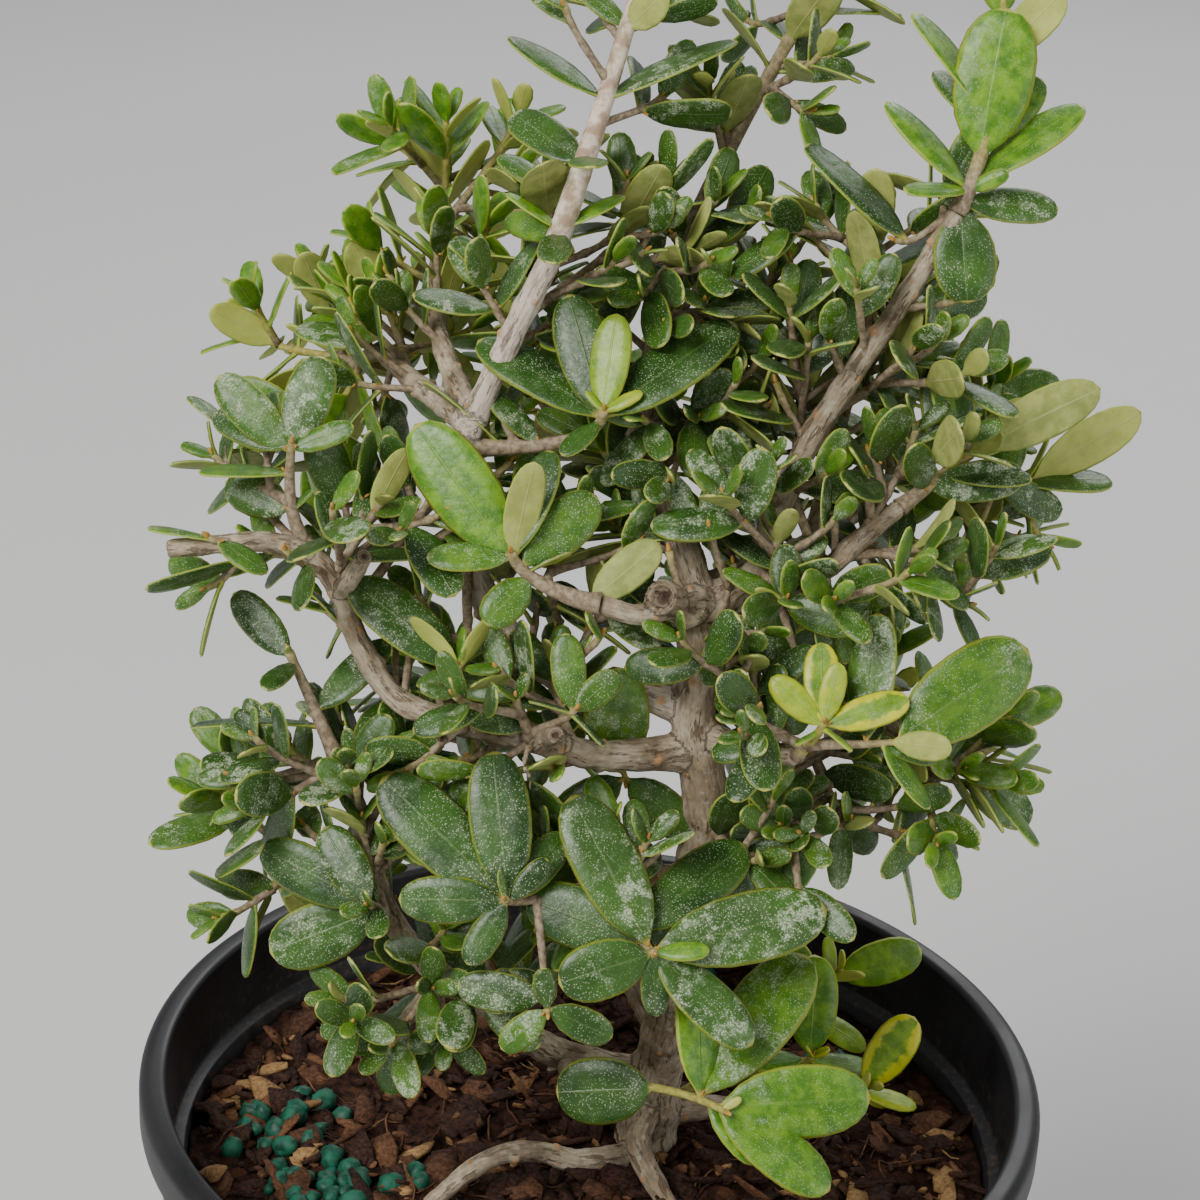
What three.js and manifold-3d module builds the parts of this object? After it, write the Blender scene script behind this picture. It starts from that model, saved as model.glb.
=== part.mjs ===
// Olive bonsai in a round nursery pot.
// Millimetres, +Z up, the front faces -Y. The origin is the middle of the pot's foot.
import * as THREE from "three";
import { mergeVertices } from "three/addons/utils/BufferGeometryUtils.js";
import Module from "manifold-3d";

const wasm = await Module();
wasm.setup();

// Sizes of the pot and the compost

const POT = {
  height: 160,
  rimRadius: 82.5,
  footRadius: 62,
  wall: 1.9,
  floor: 3,
  footRing: 2.5,
  segments: 24,
};
const BAND = { low: 138, step: 2.6, ledge: 143 }; // the wider band under the lip, and the ledge inside it
const LIP = { low: 151, reach: 2.8, round: 1.6 };
// The middle of the base, which stands on the table like the foot ring
const PAD = { radius: 30, slope: 1.2 };
const DRAIN = { count: 6, radius: 6, ring: 47 };
const COMPOST = { top: 140.5, rings: 4, segments: 24, relief: 1.5 };

// Gaps that neighbours keep: touching pieces, a leaf and a twig, and two leaves
const SEAT = 0.35;
const TWIG_GAP = 0.5;
const LEAF_GAP = 0.25;

// Wood and leaves
const LIMB_SIDES = { thick: 6, thin: 5 };
const THICK_LIMB = 2.9; // radius from which a limb gets the larger number of sides
const SHOOT_SIDES = 4;
const TWIG_SIDES = 3;
const LONG_SHOOT = 31; // length from which a shoot gets a third step
const SHORTEST_EDGE = 0.05;
const BLADE = { thickness: 0.65, stalk: 0.45, sag: 0.1, large: 27, least: 11 };
const NARROWEST = 0.4; // a leaf's least width to its length
const CLEARANCE = 1; // between the middle of a leaf and another leaf or the bark
const LIGHT = new THREE.Vector3(0, -0.45, 0.8); // leaves turn their upper face this way
const LEAN = new THREE.Vector3(0, 0.6, 0.8); // pairs of leaves are turned from a line square to this
const CROWN_AXIS = new THREE.Vector3(10, 0, 0);

// How far from the shoot's tip each pair sits, how wide it opens, and its leaves' share of the full length
const PAIR_BACK = [0.6, 3.2, 7.5, 12.5, 18, 24];
const PAIR_OPEN = [26, 42, 50, 55, 60, 64];
const PAIR_SIZE = [0.5, 0.8, 1, 1, 0.92, 0.85];
// The pairs that are solid here, on a spray's main shoot, its other shoots and its side twigs
const PAIRS_BUILT = { main: [1, 2], other: [2], twig: [1] };

// Where a leaf placed by hand looks
const FACES = {
  front: [0, -0.91, 0.41],
  back: [0, 0.91, -0.41],
  up: [0, -0.25, 0.97],
  right: [0.8, -0.5, 0.3],
  front_left: [-0.45, -0.75, 0.5],
  front_right: [0.45, -0.75, 0.5],
};

// Trunk, limbs, roots and pruned stubs: the middle line and the radius at each point of it
const WOOD = {
  trunk: {
    points: [
      [10, 4, 118], [11, 4, 142], [13, -4, 170], [16, -9, 200], [17, -11, 221], [14, -11, 236],
      [14, -9, 250], [12, -4, 262], [7, 5, 270], [3, 16, 277],
    ],
    radii: [6.5, 6, 4.6, 4.2, 4.1, 4, 3.9, 3.2, 2.7, 2.4],
  },
  leader: {
    points: [
      [14, -10, 238], [4, -10, 241], [-9, -10, 243], [-20, -5, 250], [-26, 0, 262], [-27, 2, 275],
      [-26, 3, 283], [-20, 7, 298], [-14, 10, 311],
    ],
    radii: [3.2, 3, 2.9, 2.8, 2.6, 2.5, 2.4, 2.3, 2.2],
  },
  crown: {
    points: [[3, 16, 277], [4, 24, 286], [6, 31, 299], [11, 34, 313]],
    radii: [2.5, 2.3, 2.1, 1.9],
  },
  right: {
    points: [[14, -8, 256], [23, -2, 262], [29, 4, 278], [37, 8, 293], [45, 11, 306], [53, 14, 321]],
    radii: [2.9, 2.5, 2.2, 2, 1.8, 1.6],
  },
  right_mid: {
    points: [[20, -4, 256], [34, -3, 262], [40, -1, 267], [47, 3, 272]],
    radii: [2.1, 1.9, 1.8, 1.6],
  },
  right_low: {
    points: [[15, -11, 234], [25, -18, 235], [31, -23, 237]],
    radii: [2.4, 2.1, 1.8],
  },
  front_mid: {
    points: [[14, -8, 257], [11, -13, 260], [4, -18, 259], [-3, -19, 261]],
    radii: [2.6, 2.2, 1.8, 1.6],
  },
  front_low: {
    points: [[13, -12, 231], [-2, -19, 233], [-8, -22, 236], [-13, -24, 238]],
    radii: [3, 2.7, 2.4, 2],
  },
  left: {
    points: [
      [-8, -22, 236], [-24, -20, 238], [-36, -16, 240], [-43, -12, 248], [-47, -10, 257],
      [-52, -9, 264],
    ],
    radii: [2.3, 2.2, 2.1, 2, 1.9, 1.8],
  },
  left_end: {
    points: [[-51, -9, 263], [-58, -12, 266], [-66, -14, 266], [-75, -15, 265]],
    radii: [1.7, 1.6, 1.6, 1.6],
  },
  left_stub: {
    points: [[-47, -10, 256], [-44, -14, 262], [-42, -18, 267]],
    radii: [1.6, 1.5, 1.5],
  },
  left_low: {
    points: [
      [8, -1, 158], [-8, -6, 166], [-17, -10, 176], [-29, -21, 191], [-37, -23, 204], [-41, -21, 218],
      [-46, -18, 229],
    ],
    radii: [3, 2.8, 2.6, 2.2, 2, 1.8, 1.7],
  },
  front_base: {
    points: [[16, -9, 205], [8, -20, 211], [-2, -31, 215]],
    radii: [2.2, 1.9, 1.6],
  },
  rear_left: {
    points: [[-26, 2, 283], [-37, 24, 282], [-45, 40, 282]],
    radii: [2.2, 1.9, 1.6],
  },
  rear_high: {
    points: [[-26, 3, 284], [-33, 26, 289], [-36, 48, 294]],
    radii: [2.1, 1.8, 1.5],
  },
  rear: {
    points: [[10, 0, 264], [4, 26, 262], [-8, 42, 262]],
    radii: [2.4, 2, 1.6],
  },
  rear_right: {
    points: [[13, -5, 258], [30, 18, 256], [45, 34, 260]],
    radii: [2.6, 2.1, 1.7],
  },
  low_right: {
    points: [[17, -11, 221], [34, -2, 226], [48, 4, 231]],
    radii: [2.3, 1.9, 1.6],
  },
  low_rear: {
    points: [[16, -8, 196], [24, 10, 204], [30, 28, 214]],
    radii: [2.4, 2, 1.6],
  },
  low_rear_left: {
    points: [[12, 0, 168], [-4, 16, 186], [-20, 28, 200]],
    radii: [2.4, 2, 1.7],
  },
  root_left: {
    points: [
      [10, 3, 138], [4, -6, 143], [-3, -10, 145], [-8, -11, 147], [-15, -15, 149], [-21, -18, 147],
      [-27, -22, 143], [-33, -26, 138],
    ],
    radii: [3, 2.4, 2, 1.9, 1.9, 1.8, 1.6, 1.2],
  },
  root_front: {
    points: [
      [11, 3, 150], [10, -6, 151], [9, -10, 149], [12, -14, 145], [15, -18, 142], [19, -24, 138],
    ],
    radii: [3, 2.4, 2.2, 2, 1.8, 1.4],
  },
  root_right: {
    points: [[11, 4, 147], [22, 8, 146], [34, 10, 143], [44, 12, 137]],
    radii: [3.2, 2.4, 2, 1.4],
  },
  root_back: {
    points: [[10, 4, 147], [4, 14, 146], [-4, 24, 142], [-10, 31, 136]],
    radii: [3.2, 2.4, 1.9, 1.3],
  },
  knob: {
    points: [[12, -11, 257], [9, -14, 260], [7, -17, 262]],
    radii: [2.9, 2.9, 3],
  },
  front_stub: {
    points: [[-12, -24, 237], [-10, -27, 240], [-9, -30, 242]],
    radii: [1.6, 1.5, 1.6],
  },
  side_stub: {
    points: [[-24, -20, 238], [-26, -23, 239], [-28, -27, 239]],
    radii: [1.4, 1.3, 1.4],
  },
  low_stub: {
    points: [[-27, -20, 189], [-31, -27, 186], [-35, -34, 184]],
    radii: [1.6, 1.5, 1.5],
  },
};

// Leafy sprays: the limb that carries each one, how far along it, and its shoots.
// A shoot runs to its tip, where it points along "aim". Later shoots leave the first one "at" a fraction.
// "pairs" of leaves up to the length "leaf" grow from its end back, and "twigs" are short side twigs.
// Each row of "leaves" is one placed by hand: the fraction of the shoot that it grows from, x, y and z
// from its foot to its tip, the side that it faces, its width to its length, and its youth from 0 to 1.
const SPRAYS = {
  leader_top: {
    on: "leader",
    at: 1,
    shoots: [
      {
        tip: [0, 31, 362], aim: [0.2, 0.2, 1], start: [0.3, 0.2, 1], radius: 2.1, pairs: 3, leaf: 17,
        turn: 20,
        leaves: [
          [0.48, -16, 5, 10, "front", 0.22, 0.1],
          [0.48, 21, 7, 11, "front", 0.2, 0.1],
          [0.3, 1, -14, 4, "up", 0.45, 0.2],
          [0.28, -13, 12, 6, "front", 0.38, 0],
          [0.08, -9, 2, 6, "front", 0.2, 0.55],
          [0.08, 10, 4, 6, "front", 0.2, 0.5],
          [0.07, -1, -13, 0, "up", 0.45, 0.1],
          [0.06, -10, 7, 1, "front", 0.41, 0.35],
          [0.7, -8, 5, 6, "front", 0.36, 0.2],
          [0.7, 7, -5, 8, "back", 0.54, 0.3],
        ],
      },
    ],
  },
  leader_left: {
    on: "leader",
    at: 0.77,
    shoots: [
      { tip: [-16, 23, 322], aim: [-0.3, 0.3, 1], radius: 1, pairs: 4, leaf: 17, turn: 90, twigs: 1 },
    ],
  },
  leader_right: {
    on: "leader",
    at: 0.89,
    shoots: [
      { tip: [2, 28, 316], aim: [0.5, 0.2, 1], radius: 1, pairs: 4, leaf: 16, twigs: 1 },
    ],
  },
  front_high: {
    on: "leader",
    at: 0.69,
    shoots: [
      {
        tip: [-4, -3, 289], aim: [0, -0.4, 1], start: [1, -0.2, 0.1], radius: 1.6,
        leaves: [
          [0.93, -7, 11, 18, "front", 0.41, 0],
          [0.94, 1, 7, 16, "front", 0.38, 0.8],
          [0.91, 21, 11, 16, "front", 0.34, 0],
          [0.92, -21, 10, 11, "front", 0.32, 0],
          [0.88, -6, -7, -3, "up", 0.45, 0],
          [0.43, -9, 4, 8, "front", 0.34, 0],
          [0.22, -13, 7, 10, "up", 0.27, 0],
          [0.98, 6, 1, 4, "front", 0.32, 0.9],
          [0.99, -3, 2, 3, "front", 0.32, 0.8],
        ],
      },
      { at: 0.3, tip: [-22, 4, 286], aim: [-0.6, -0.4, 1], radius: 0.9, pairs: 3, leaf: 13 },
    ],
  },
  front_mid: {
    on: "front_mid",
    at: 1,
    shoots: [
      {
        tip: [-18, -18, 269], aim: [-0.2, -0.4, 1], start: [-1, 0, 0.1], radius: 1.7,
        leaves: [
          [0.86, -18, 9, 20, "front", 0.42, 0.55],
          [0.92, 2, 4, 16, "back", 0.36, 0.3],
          [0.9, 4, 11, 16, "front", 0.32, 0],
          [0.78, 12, 7, 11, "front", 0.5, 0.25],
          [0.92, -14, -2, 1, "front", 0.36, 0.35],
          [0.64, -7, -6, -6, "front", 0.62, 0.25],
          [0.7, 7, 2, 4, "up", 0.27, 0],
          [0.1, 11, 7, 8, "back", 0.44, 0],
        ],
      },
      { at: 0.5, tip: [-10, -4, 266], aim: [0.2, 0.2, 1], radius: 0.9, pairs: 3, leaf: 15 },
    ],
  },
  mid_left: {
    on: "leader",
    at: 0.5,
    shoots: [
      {
        tip: [-26, -20, 249], aim: [-0.4, -0.6, 1], radius: 1.1,
        leaves: [
          [0.91, -19, 6, 13, "front", 0.38, 0],
          [0.96, -8, 3, 8, "back", 0.27, 0.5],
          [0.98, 0, 3, 6, "front", 0.27, 0.4],
          [0.96, 4, 4, 8, "back", 0.27, 0.5],
          [0.95, -7, -3, -2, "front", 0.36, 0],
          [0.88, 6, -3, 2, "front", 0.32, 0.3],
        ],
      },
      { at: 0.55, tip: [-36, -13, 250], aim: [-0.7, 0, 1], radius: 0.9, pairs: 3, leaf: 13 },
    ],
  },
  low_left_front: {
    on: "front_low",
    at: 1,
    shoots: [
      {
        tip: [-16, -25, 246], aim: [-0.1, -0.3, 1], radius: 1.1, pairs: 3, leaf: 11, turn: 30, twigs: 1,
      },
      {
        at: 0.1, tip: [-6, -28, 246], aim: [0.4, -0.5, 1], radius: 1,
        leaves: [
          [0.89, -2, 5, 12, "front", 0.45, 0.25],
          [0.92, 7, 3, 6, "front", 0.54, 0.2],
          [0.85, 6, -4, -3, "up", 0.32, 0],
          [0.85, -7, 1, 2, "up", 0.32, 0],
        ],
      },
    ],
  },
  low_front_mid: {
    on: "front_low",
    at: 0.55,
    shoots: [
      { tip: [-10, -16, 248], aim: [0.1, -0.1, 1], radius: 1, pairs: 4, leaf: 15, turn: 60, twigs: 2 },
    ],
  },
  low_front_back: {
    on: "front_low",
    at: 0.3,
    shoots: [
      {
        tip: [3, -12, 225], aim: [0.1, -0.3, -1], start: [0, -0.6, -1], radius: 1, pairs: 0, leaf: 12,
        tone: 0.3,
        leaves: [
          [0.7, -2, -4, 20, "front", 0.55, 0.3],
          [0.95, 12, -3, -9, "front", 0.5, 0.1],
          [0.95, -12, -3, -8, "front", 0.5, 0],
        ],
      },
    ],
  },
  right_low: {
    on: "right_low",
    at: 1,
    shoots: [
      {
        tip: [35, -26, 245], aim: [-0.1, -0.8, 1], radius: 1.2, tone: 0.7,
        leaves: [
          [0.87, -1, 7, 12, "front", 0.45, 1],
          [0.89, 2, 3, 10, "front", 0.41, 0.9],
          [0.85, -9, 3, 7, "front", 0.45, 0.9],
          [0.86, 14, 2, 5, "front", 0.38, 1],
          [0.8, 5, -5, -1, "up", 0.32, 0.8],
          [0.65, -4, -4, 0, "up", 0.36, 0.7],
        ],
      },
      {
        at: 0.3, tip: [49, -25, 242], aim: [1, -0.4, 0.5], radius: 1, tone: 0.15,
        leaves: [
          [0.86, 22, 7, 15, "front", 0.5, 0.3],
          [0.83, 10, -5, 2, "back", 0.45, 0.3],
          [0.73, 10, 0, -2, "front", 0.36, 0.1],
          [0.73, 9, -6, -8, "front", 0.27, 0.3],
          [0.58, 0, 9, 20, "front", 0.34, 0.15],
        ],
      },
      { at: 0.25, tip: [22, -24, 245], aim: [-0.6, -1, 1], radius: 0.9, pairs: 3, leaf: 12, turn: 60 },
    ],
  },
  right_low_up: {
    on: "right_low",
    at: 0.55,
    shoots: [
      { tip: [23, -17, 252], aim: [0, -0.3, 1], radius: 1, pairs: 4, leaf: 14, turn: 20, twigs: 1 },
    ],
  },
  mid_right_front: {
    on: "right",
    at: 0.21,
    shoots: [
      {
        tip: [28, -15, 262], aim: [0.1, -0.6, 1], radius: 1.1, pairs: 4, leaf: 17, turn: 90, twigs: 1,
        leaves: [
          [0.83, 0, 4, 9, "front", 0.54, 0],
          [0.78, -10, 2, 5, "front", 0.32, 0.25],
          [0.83, -5, -1, 3, "back", 0.32, 0.4],
        ],
      },
      { at: 0.5, tip: [26, -6, 271], aim: [0, -0.2, 1], radius: 0.9, pairs: 3, leaf: 11 },
    ],
  },
  mid_right_high: {
    on: "right",
    at: 0.065,
    shoots: [
      { tip: [16, -16, 254], aim: [-0.5, -1, 1], radius: 0.9, pairs: 3, leaf: 10 },
      { at: 0.4, tip: [19, -6, 264], aim: [-0.2, -0.2, 1], radius: 0.9, pairs: 3, leaf: 13 },
    ],
  },
  right_cup: {
    on: "right",
    at: 0.36,
    shoots: [
      { tip: [39, -8, 259], aim: [0.3, -0.4, 1], radius: 1, pairs: 4, leaf: 13, tone: 0.2, twigs: 1 },
    ],
  },
  right_top: {
    on: "right",
    at: 1,
    shoots: [
      {
        tip: [59, 30, 358], aim: [0.05, 0.3, 1], start: [0.5, 0.3, 1], radius: 1.4, pairs: 2, leaf: 14,
        turn: 95, tone: 0.5,
        leaves: [
          [0.22, 3, 6, 25, "front", 0.52, 0.6],
          [0.12, 17, 5, 15, "front", 0.26, 0.45],
          [0.1, -13, 7, 14, "front", 0.25, 0.5],
          [0.42, -12, 9, 16, "front", 0.24, 0.5],
          [0.36, -8, 11, 8, "front", 0.36, 0],
          [0.66, 10, 5, 10, "back", 0.48, 0.4],
          [0.3, 10, 8, 10, "front", 0.4, 0.5],
          [0.8, -2, 5, 17, "front", 0.45, 0.75],
          [0.1, -11, -6, 2, "up", 0.42, 0.45],
          [0.1, 6, -2, 4, "front", 0.42, 0.6],
          [0.03, 2, -8, -14, "front", 0.66, 0.12],
          [0.04, 17, 3, 0, "front", 0.38, 0],
        ],
      },
      {
        at: 0.02, tip: [43, 13, 316], aim: [-1, -0.2, 0.5], radius: 0.8,
        leaves: [
          [0.8, -17, 7, 15, "front", 0.27, 0],
        ],
      },
    ],
  },
  right_high_left: {
    on: "right",
    at: 0.66,
    shoots: [
      {
        tip: [40, 24, 314], aim: [-0.2, 0.1, 1], radius: 1, pairs: 4, leaf: 18, turn: 30, tone: 0.1,
        twigs: 2,
      },
    ],
  },
  right_inner: {
    on: "right",
    at: 0.5,
    shoots: [
      { tip: [48, 16, 296], aim: [0.6, 0.2, 1], radius: 1, pairs: 4, leaf: 16, twigs: 1 },
    ],
  },
  right_inner_low: {
    on: "right",
    at: 0.4,
    shoots: [
      { tip: [29, 15, 290], aim: [-0.3, 0.1, 1], radius: 1, pairs: 4, leaf: 16, turn: 50, twigs: 2 },
    ],
  },
  right_mid: {
    on: "right_mid",
    at: 1,
    shoots: [
      {
        tip: [61, 10, 282], aim: [1, 0.2, 1], radius: 1.4, pairs: 3, leaf: 12, turn: 100, tone: 0.25,
        leaves: [
          [0.9, 20, 5, 11, "back", 0.38, 0.15],
          [0.85, 9, 5, 8, "back", 0.4, 0.45],
          [0.72, -4, 6, 14, "front", 0.3, 0.35],
          [0.62, -2, 10, 17, "front", 0.48, 0],
          [0.5, 15, -2, 2, "up", 0.42, 0],
          [0.3, 17, 1, 3, "front", 0.42, 0],
          [0.3, -3, -9, 10, "front", 0.42, 0.1],
        ],
      },
      {
        at: 0.6, tip: [73, 22, 272], aim: [1, 0.4, 0.6], radius: 1, pairs: 3, leaf: 13, turn: 40,
        tone: 0.3,
        leaves: [
          [0.9, 18, 7, 12, "back", 0.34, 0.4],
          [0.8, 17, 4, 1, "up", 0.42, 0.15],
          [0.7, -1, 9, 14, "front", 0.42, 0.3],
          [0.55, 13, 3, -7, "front", 0.4, 0],
        ],
      },
    ],
  },
  right_mid_up: {
    on: "right_mid",
    at: 0.7,
    shoots: [
      { tip: [49, 7, 285], aim: [0.1, -0.1, 1], radius: 1, pairs: 4, leaf: 17, turn: 20, twigs: 1 },
    ],
  },
  right_mid_low: {
    on: "right_mid",
    at: 0.5,
    shoots: [
      { tip: [53, 1, 266], aim: [1, -0.3, 0.4], radius: 1, pairs: 4, leaf: 16, turn: 60, twigs: 1 },
    ],
  },
  crown_top: {
    on: "crown",
    at: 1,
    shoots: [
      {
        tip: [31, 52, 356], aim: [0.3, 0.3, 1], start: [0.3, 0.1, 1], radius: 1.6, pairs: 6, leaf: 17,
        turn: 30, tone: 0.15, twigs: 2,
      },
      { at: 0.25, tip: [13, 38, 330], aim: [-0.2, 0.2, 1], radius: 0.9, pairs: 4, leaf: 17 },
    ],
  },
  crown_left: {
    on: "crown",
    at: 0.85,
    shoots: [
      { tip: [6, 23, 312], aim: [-0.6, -0.2, 1], radius: 1.1, pairs: 4, leaf: 16, turn: 40, twigs: 1 },
    ],
  },
  crown_front: {
    on: "crown",
    at: 0.55,
    shoots: [
      { tip: [12, 15, 303], aim: [0, -0.9, 1], radius: 1.1, pairs: 4, leaf: 17, turn: 10, twigs: 1 },
    ],
  },
  crown_right: {
    on: "crown",
    at: 0.45,
    shoots: [
      { tip: [24, 17, 298], aim: [0.6, -0.4, 1], radius: 1.1, pairs: 4, leaf: 17, turn: 80, twigs: 2 },
    ],
  },
  crown_low: {
    on: "crown",
    at: 0.2,
    shoots: [
      { tip: [12, 7, 285], aim: [0.1, -1, 0.7], radius: 1.1, pairs: 4, leaf: 15, twigs: 2 },
    ],
  },
  rear_left: {
    on: "rear_left",
    at: 1,
    shoots: [
      {
        tip: [-55, 55, 276], aim: [-0.6, 0.2, 1], radius: 1.3, pairs: 4, leaf: 20, turn: 60, tone: 0.45,
        twigs: 2,
      },
      { at: 0.5, tip: [-72, 61, 278], aim: [-1, 0.2, 0.8], radius: 0.9, pairs: 4, leaf: 15, tone: 0.5 },
    ],
  },
  rear_left_up: {
    on: "rear_left",
    at: 0.6,
    shoots: [
      {
        tip: [-45, 53, 290], aim: [-0.3, 0.2, 1], radius: 1.1, pairs: 4, leaf: 17, turn: 20, tone: 0.3,
        twigs: 1,
      },
    ],
  },
  rear_high: {
    on: "rear_high",
    at: 1,
    shoots: [
      {
        tip: [-36, 77, 309], aim: [-0.1, 0.3, 1], radius: 1.2, pairs: 5, leaf: 16, turn: 30, tone: 0.5,
        twigs: 2,
      },
      {
        at: 0.4, tip: [-23, 78, 317], aim: [0.3, 0.2, 1], radius: 0.9, pairs: 4, leaf: 15, turn: 60,
        tone: 0.3,
      },
    ],
  },
  rear_high_low: {
    on: "rear_high",
    at: 0.5,
    shoots: [
      {
        tip: [-35, 47, 297], aim: [-0.2, 0.1, 1], radius: 1.1, pairs: 4, leaf: 16, tone: 0.4, twigs: 1,
      },
    ],
  },
  left_tip: {
    on: "left",
    at: 1,
    shoots: [
      {
        tip: [-55, -10, 283], aim: [0.1, -0.3, 1], start: [-0.5, -0.1, 0.6], radius: 1.3,
        leaves: [
          [0.9, -13, 5, 11, "front", 0.41, 0.2],
          [0.93, 4, 8, 14, "front", 0.5, 0.1],
          [0.93, 10, 0, 5, "right", 0.27, 0.3],
          [0.7, -15, -1, 1, "up", 0.38, 0.35],
          [0.93, -14, 7, 4, "front", 0.36, 0],
          [0.38, 3, 0, 4, "up", 0.41, 0.2],
          [0.38, -12, 4, 3, "front", 0.58, 0.1],
        ],
      },
      { at: 0.45, tip: [-69, -2, 277], aim: [-0.8, 0.1, 1], radius: 0.9, pairs: 3, leaf: 13, turn: 40 },
    ],
  },
  left_end: {
    on: "left_end",
    at: 0.55,
    shoots: [
      {
        tip: [-68, -16, 268], aim: [-0.8, -0.5, 1], radius: 1,
        leaves: [
          [0.79, -11, 1, 2, "up", 0.36, 0.3],
          [0.7, 9, -4, -3, "up", 0.5, 0.2],
        ],
      },
    ],
  },
  left_mid: {
    on: "left",
    at: 0.85,
    shoots: [
      {
        tip: [-40, -9, 273], aim: [0.5, -0.6, 1], radius: 1, pairs: 4, leaf: 13, turn: 60, twigs: 1,
        leaves: [
          [0.75, 5, 5, 11, "back", 0.36, 0.3],
        ],
      },
    ],
  },
  left_up: {
    on: "left",
    at: 0.7,
    shoots: [
      { tip: [-31, -2, 275], aim: [0.3, -0.2, 1], radius: 1.1, pairs: 4, leaf: 14, twigs: 2 },
    ],
  },
  left_low_tip: {
    on: "left_low",
    at: 1,
    shoots: [
      {
        tip: [-55, -12, 246], aim: [-0.4, -0.1, 1], radius: 1.4, pairs: 1, leaf: 6, turn: 120,
        leaves: [
          [0.93, -11, 6, 9, "front", 0.41, 0],
          [0.88, -4, -9, 0, "up", 0.45, 0],
          [0.43, 11, 8, 11, "front", 0.36, 0],
          [0.3, -23, 4, -1, "up", 0.32, 0],
        ],
      },
    ],
  },
  left_low_mid: {
    on: "left_low",
    at: 0.85,
    shoots: [
      { tip: [-44, -20, 228], aim: [0.2, -1, 1], radius: 0.9, pairs: 3, leaf: 13, twigs: 1 },
      { at: 0.3, tip: [-54, -15, 228], aim: [-1, 0, 0.4], radius: 0.9, pairs: 3, leaf: 14, turn: 30 },
    ],
  },
  left_low_front: {
    on: "left_low",
    at: 0.62,
    shoots: [
      {
        tip: [-39, -33, 210], aim: [-0.6, -1, 0.7], radius: 1.1, pairs: 2, leaf: 12, turn: 40,
        leaves: [
          [0.68, -18, -5, -7, "front", 0.54, 0],
          [0.9, -20, 5, 7, "front", 0.41, 0],
          [0.93, -9, 6, 11, "front", 0.5, 0],
        ],
      },
      { at: 0.5, tip: [-41, -25, 222], aim: [0, -0.3, 1], radius: 0.9, pairs: 3, leaf: 14 },
    ],
  },
  left_low_in: {
    on: "left_low",
    at: 0.45,
    shoots: [
      { tip: [-28, -34, 195], aim: [0.4, -1, 0.6], radius: 0.9, pairs: 3, leaf: 14, twigs: 1 },
    ],
  },
  left_low_rear: {
    on: "left_low",
    at: 0.7,
    shoots: [
      {
        tip: [-68, 7, 207], aim: [-1, 0.3, 0.9], radius: 1.1, pairs: 4, leaf: 15, turn: 20, tone: 0.2,
        twigs: 1,
      },
    ],
  },
  front_base: {
    on: "front_base",
    at: 1,
    shoots: [
      {
        tip: [9, -44, 210], aim: [0.1, -1, 0.6], start: [0.5, -0.8, 0], radius: 1.3,
        leaves: [
          [0.85, -14, 12, 22, "front", 0.38, 0],
          [0.86, 29, 5, 7, "front", 0.39, 0],
          [0.73, -20, 4, 5, "front", 0.5, 0],
          [0.88, 18, -8, -11, "front", 0.34, 0],
          [0.95, 9, -1, 2, "front", 0.32, 0.6],
          [0.6, 18, 15, 11, "front", 0.36, 0],
          [0.93, -15, -5, -4, "front", 0.6, 0],
          [0.95, 1, -4, -10, "front", 0.45, 0],
        ],
      },
      { at: 0.3, tip: [7, -31, 224], aim: [0.2, -0.1, 1], radius: 0.9, pairs: 3, leaf: 15 },
    ],
  },
  front_base_left: {
    on: "front_base",
    at: 0.8,
    shoots: [
      {
        tip: [-16, -41, 217], aim: [-0.2, -1, 0.9], radius: 1.2,
        leaves: [
          [0.9, -4, 11, 22, "front", 0.42, 0],
          [0.9, -22, 10, 17, "front", 0.38, 0],
          [0.9, 9, 10, 8, "front", 0.41, 0],
          [0.9, 6, 2, 7, "right", 0.27, 0],
          [0.94, -18, 0, -1, "front", 0.45, 0],
          [0.93, -6, -6, -9, "front", 0.45, 0],
          [0.95, -1, 1, 5, "front", 0.32, 0.2],
        ],
      },
      {
        at: 0.6, tip: [-8, -48, 200], aim: [0.1, -1, -0.2], radius: 0.8,
        leaves: [
          [0.96, -1, 1, 7, "front", 0.59, 0.1],
          [0.96, -7, -5, -5, "front", 0.54, 0.25],
          [0.94, 11, -2, -4, "front", 0.5, 0],
          [0.85, -15, 1, 1, "front", 0.45, 0],
        ],
      },
    ],
  },
  front_base_mid: {
    on: "front_base",
    at: 0.5,
    shoots: [
      {
        tip: [1, -23, 221], aim: [-0.1, -0.3, 1], radius: 1.1, pairs: 3, leaf: 17, tone: 0.2, twigs: 1,
      },
    ],
  },
  front_lowest: {
    on: "left_low",
    at: 0.12,
    shoots: [
      {
        tip: [22, -53, 186], aim: [0.9, -1, 0.1], start: [-0.3, -1, 0.2], radius: 1.2, tone: 0.35,
        leaves: [
          [0.96, 26, 1, 2, "front", 0.48, 0.4],
          [0.96, 20, -7, -10, "front", 0.34, 0.4],
          [0.73, -17, 1, -3, "front", 0.68, 0.1],
          [0.9, -1, 13, 19, "front", 0.34, 0.55],
          [0.99, 3, 1, 2, "back", 0.45, 0.5],
          [0.93, 9, -6, -7, "front", 0.36, 0.45],
          [0.9, 17, 21, 18, "front", 0.36, 0.3],
        ],
      },
    ],
  },
  base_right: {
    on: "trunk",
    at: 0.13,
    shoots: [
      {
        tip: [46, 18, 172], aim: [0.5, 0.1, 1], radius: 1.1, pairs: 2, leaf: 11, tone: 0.8,
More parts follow.
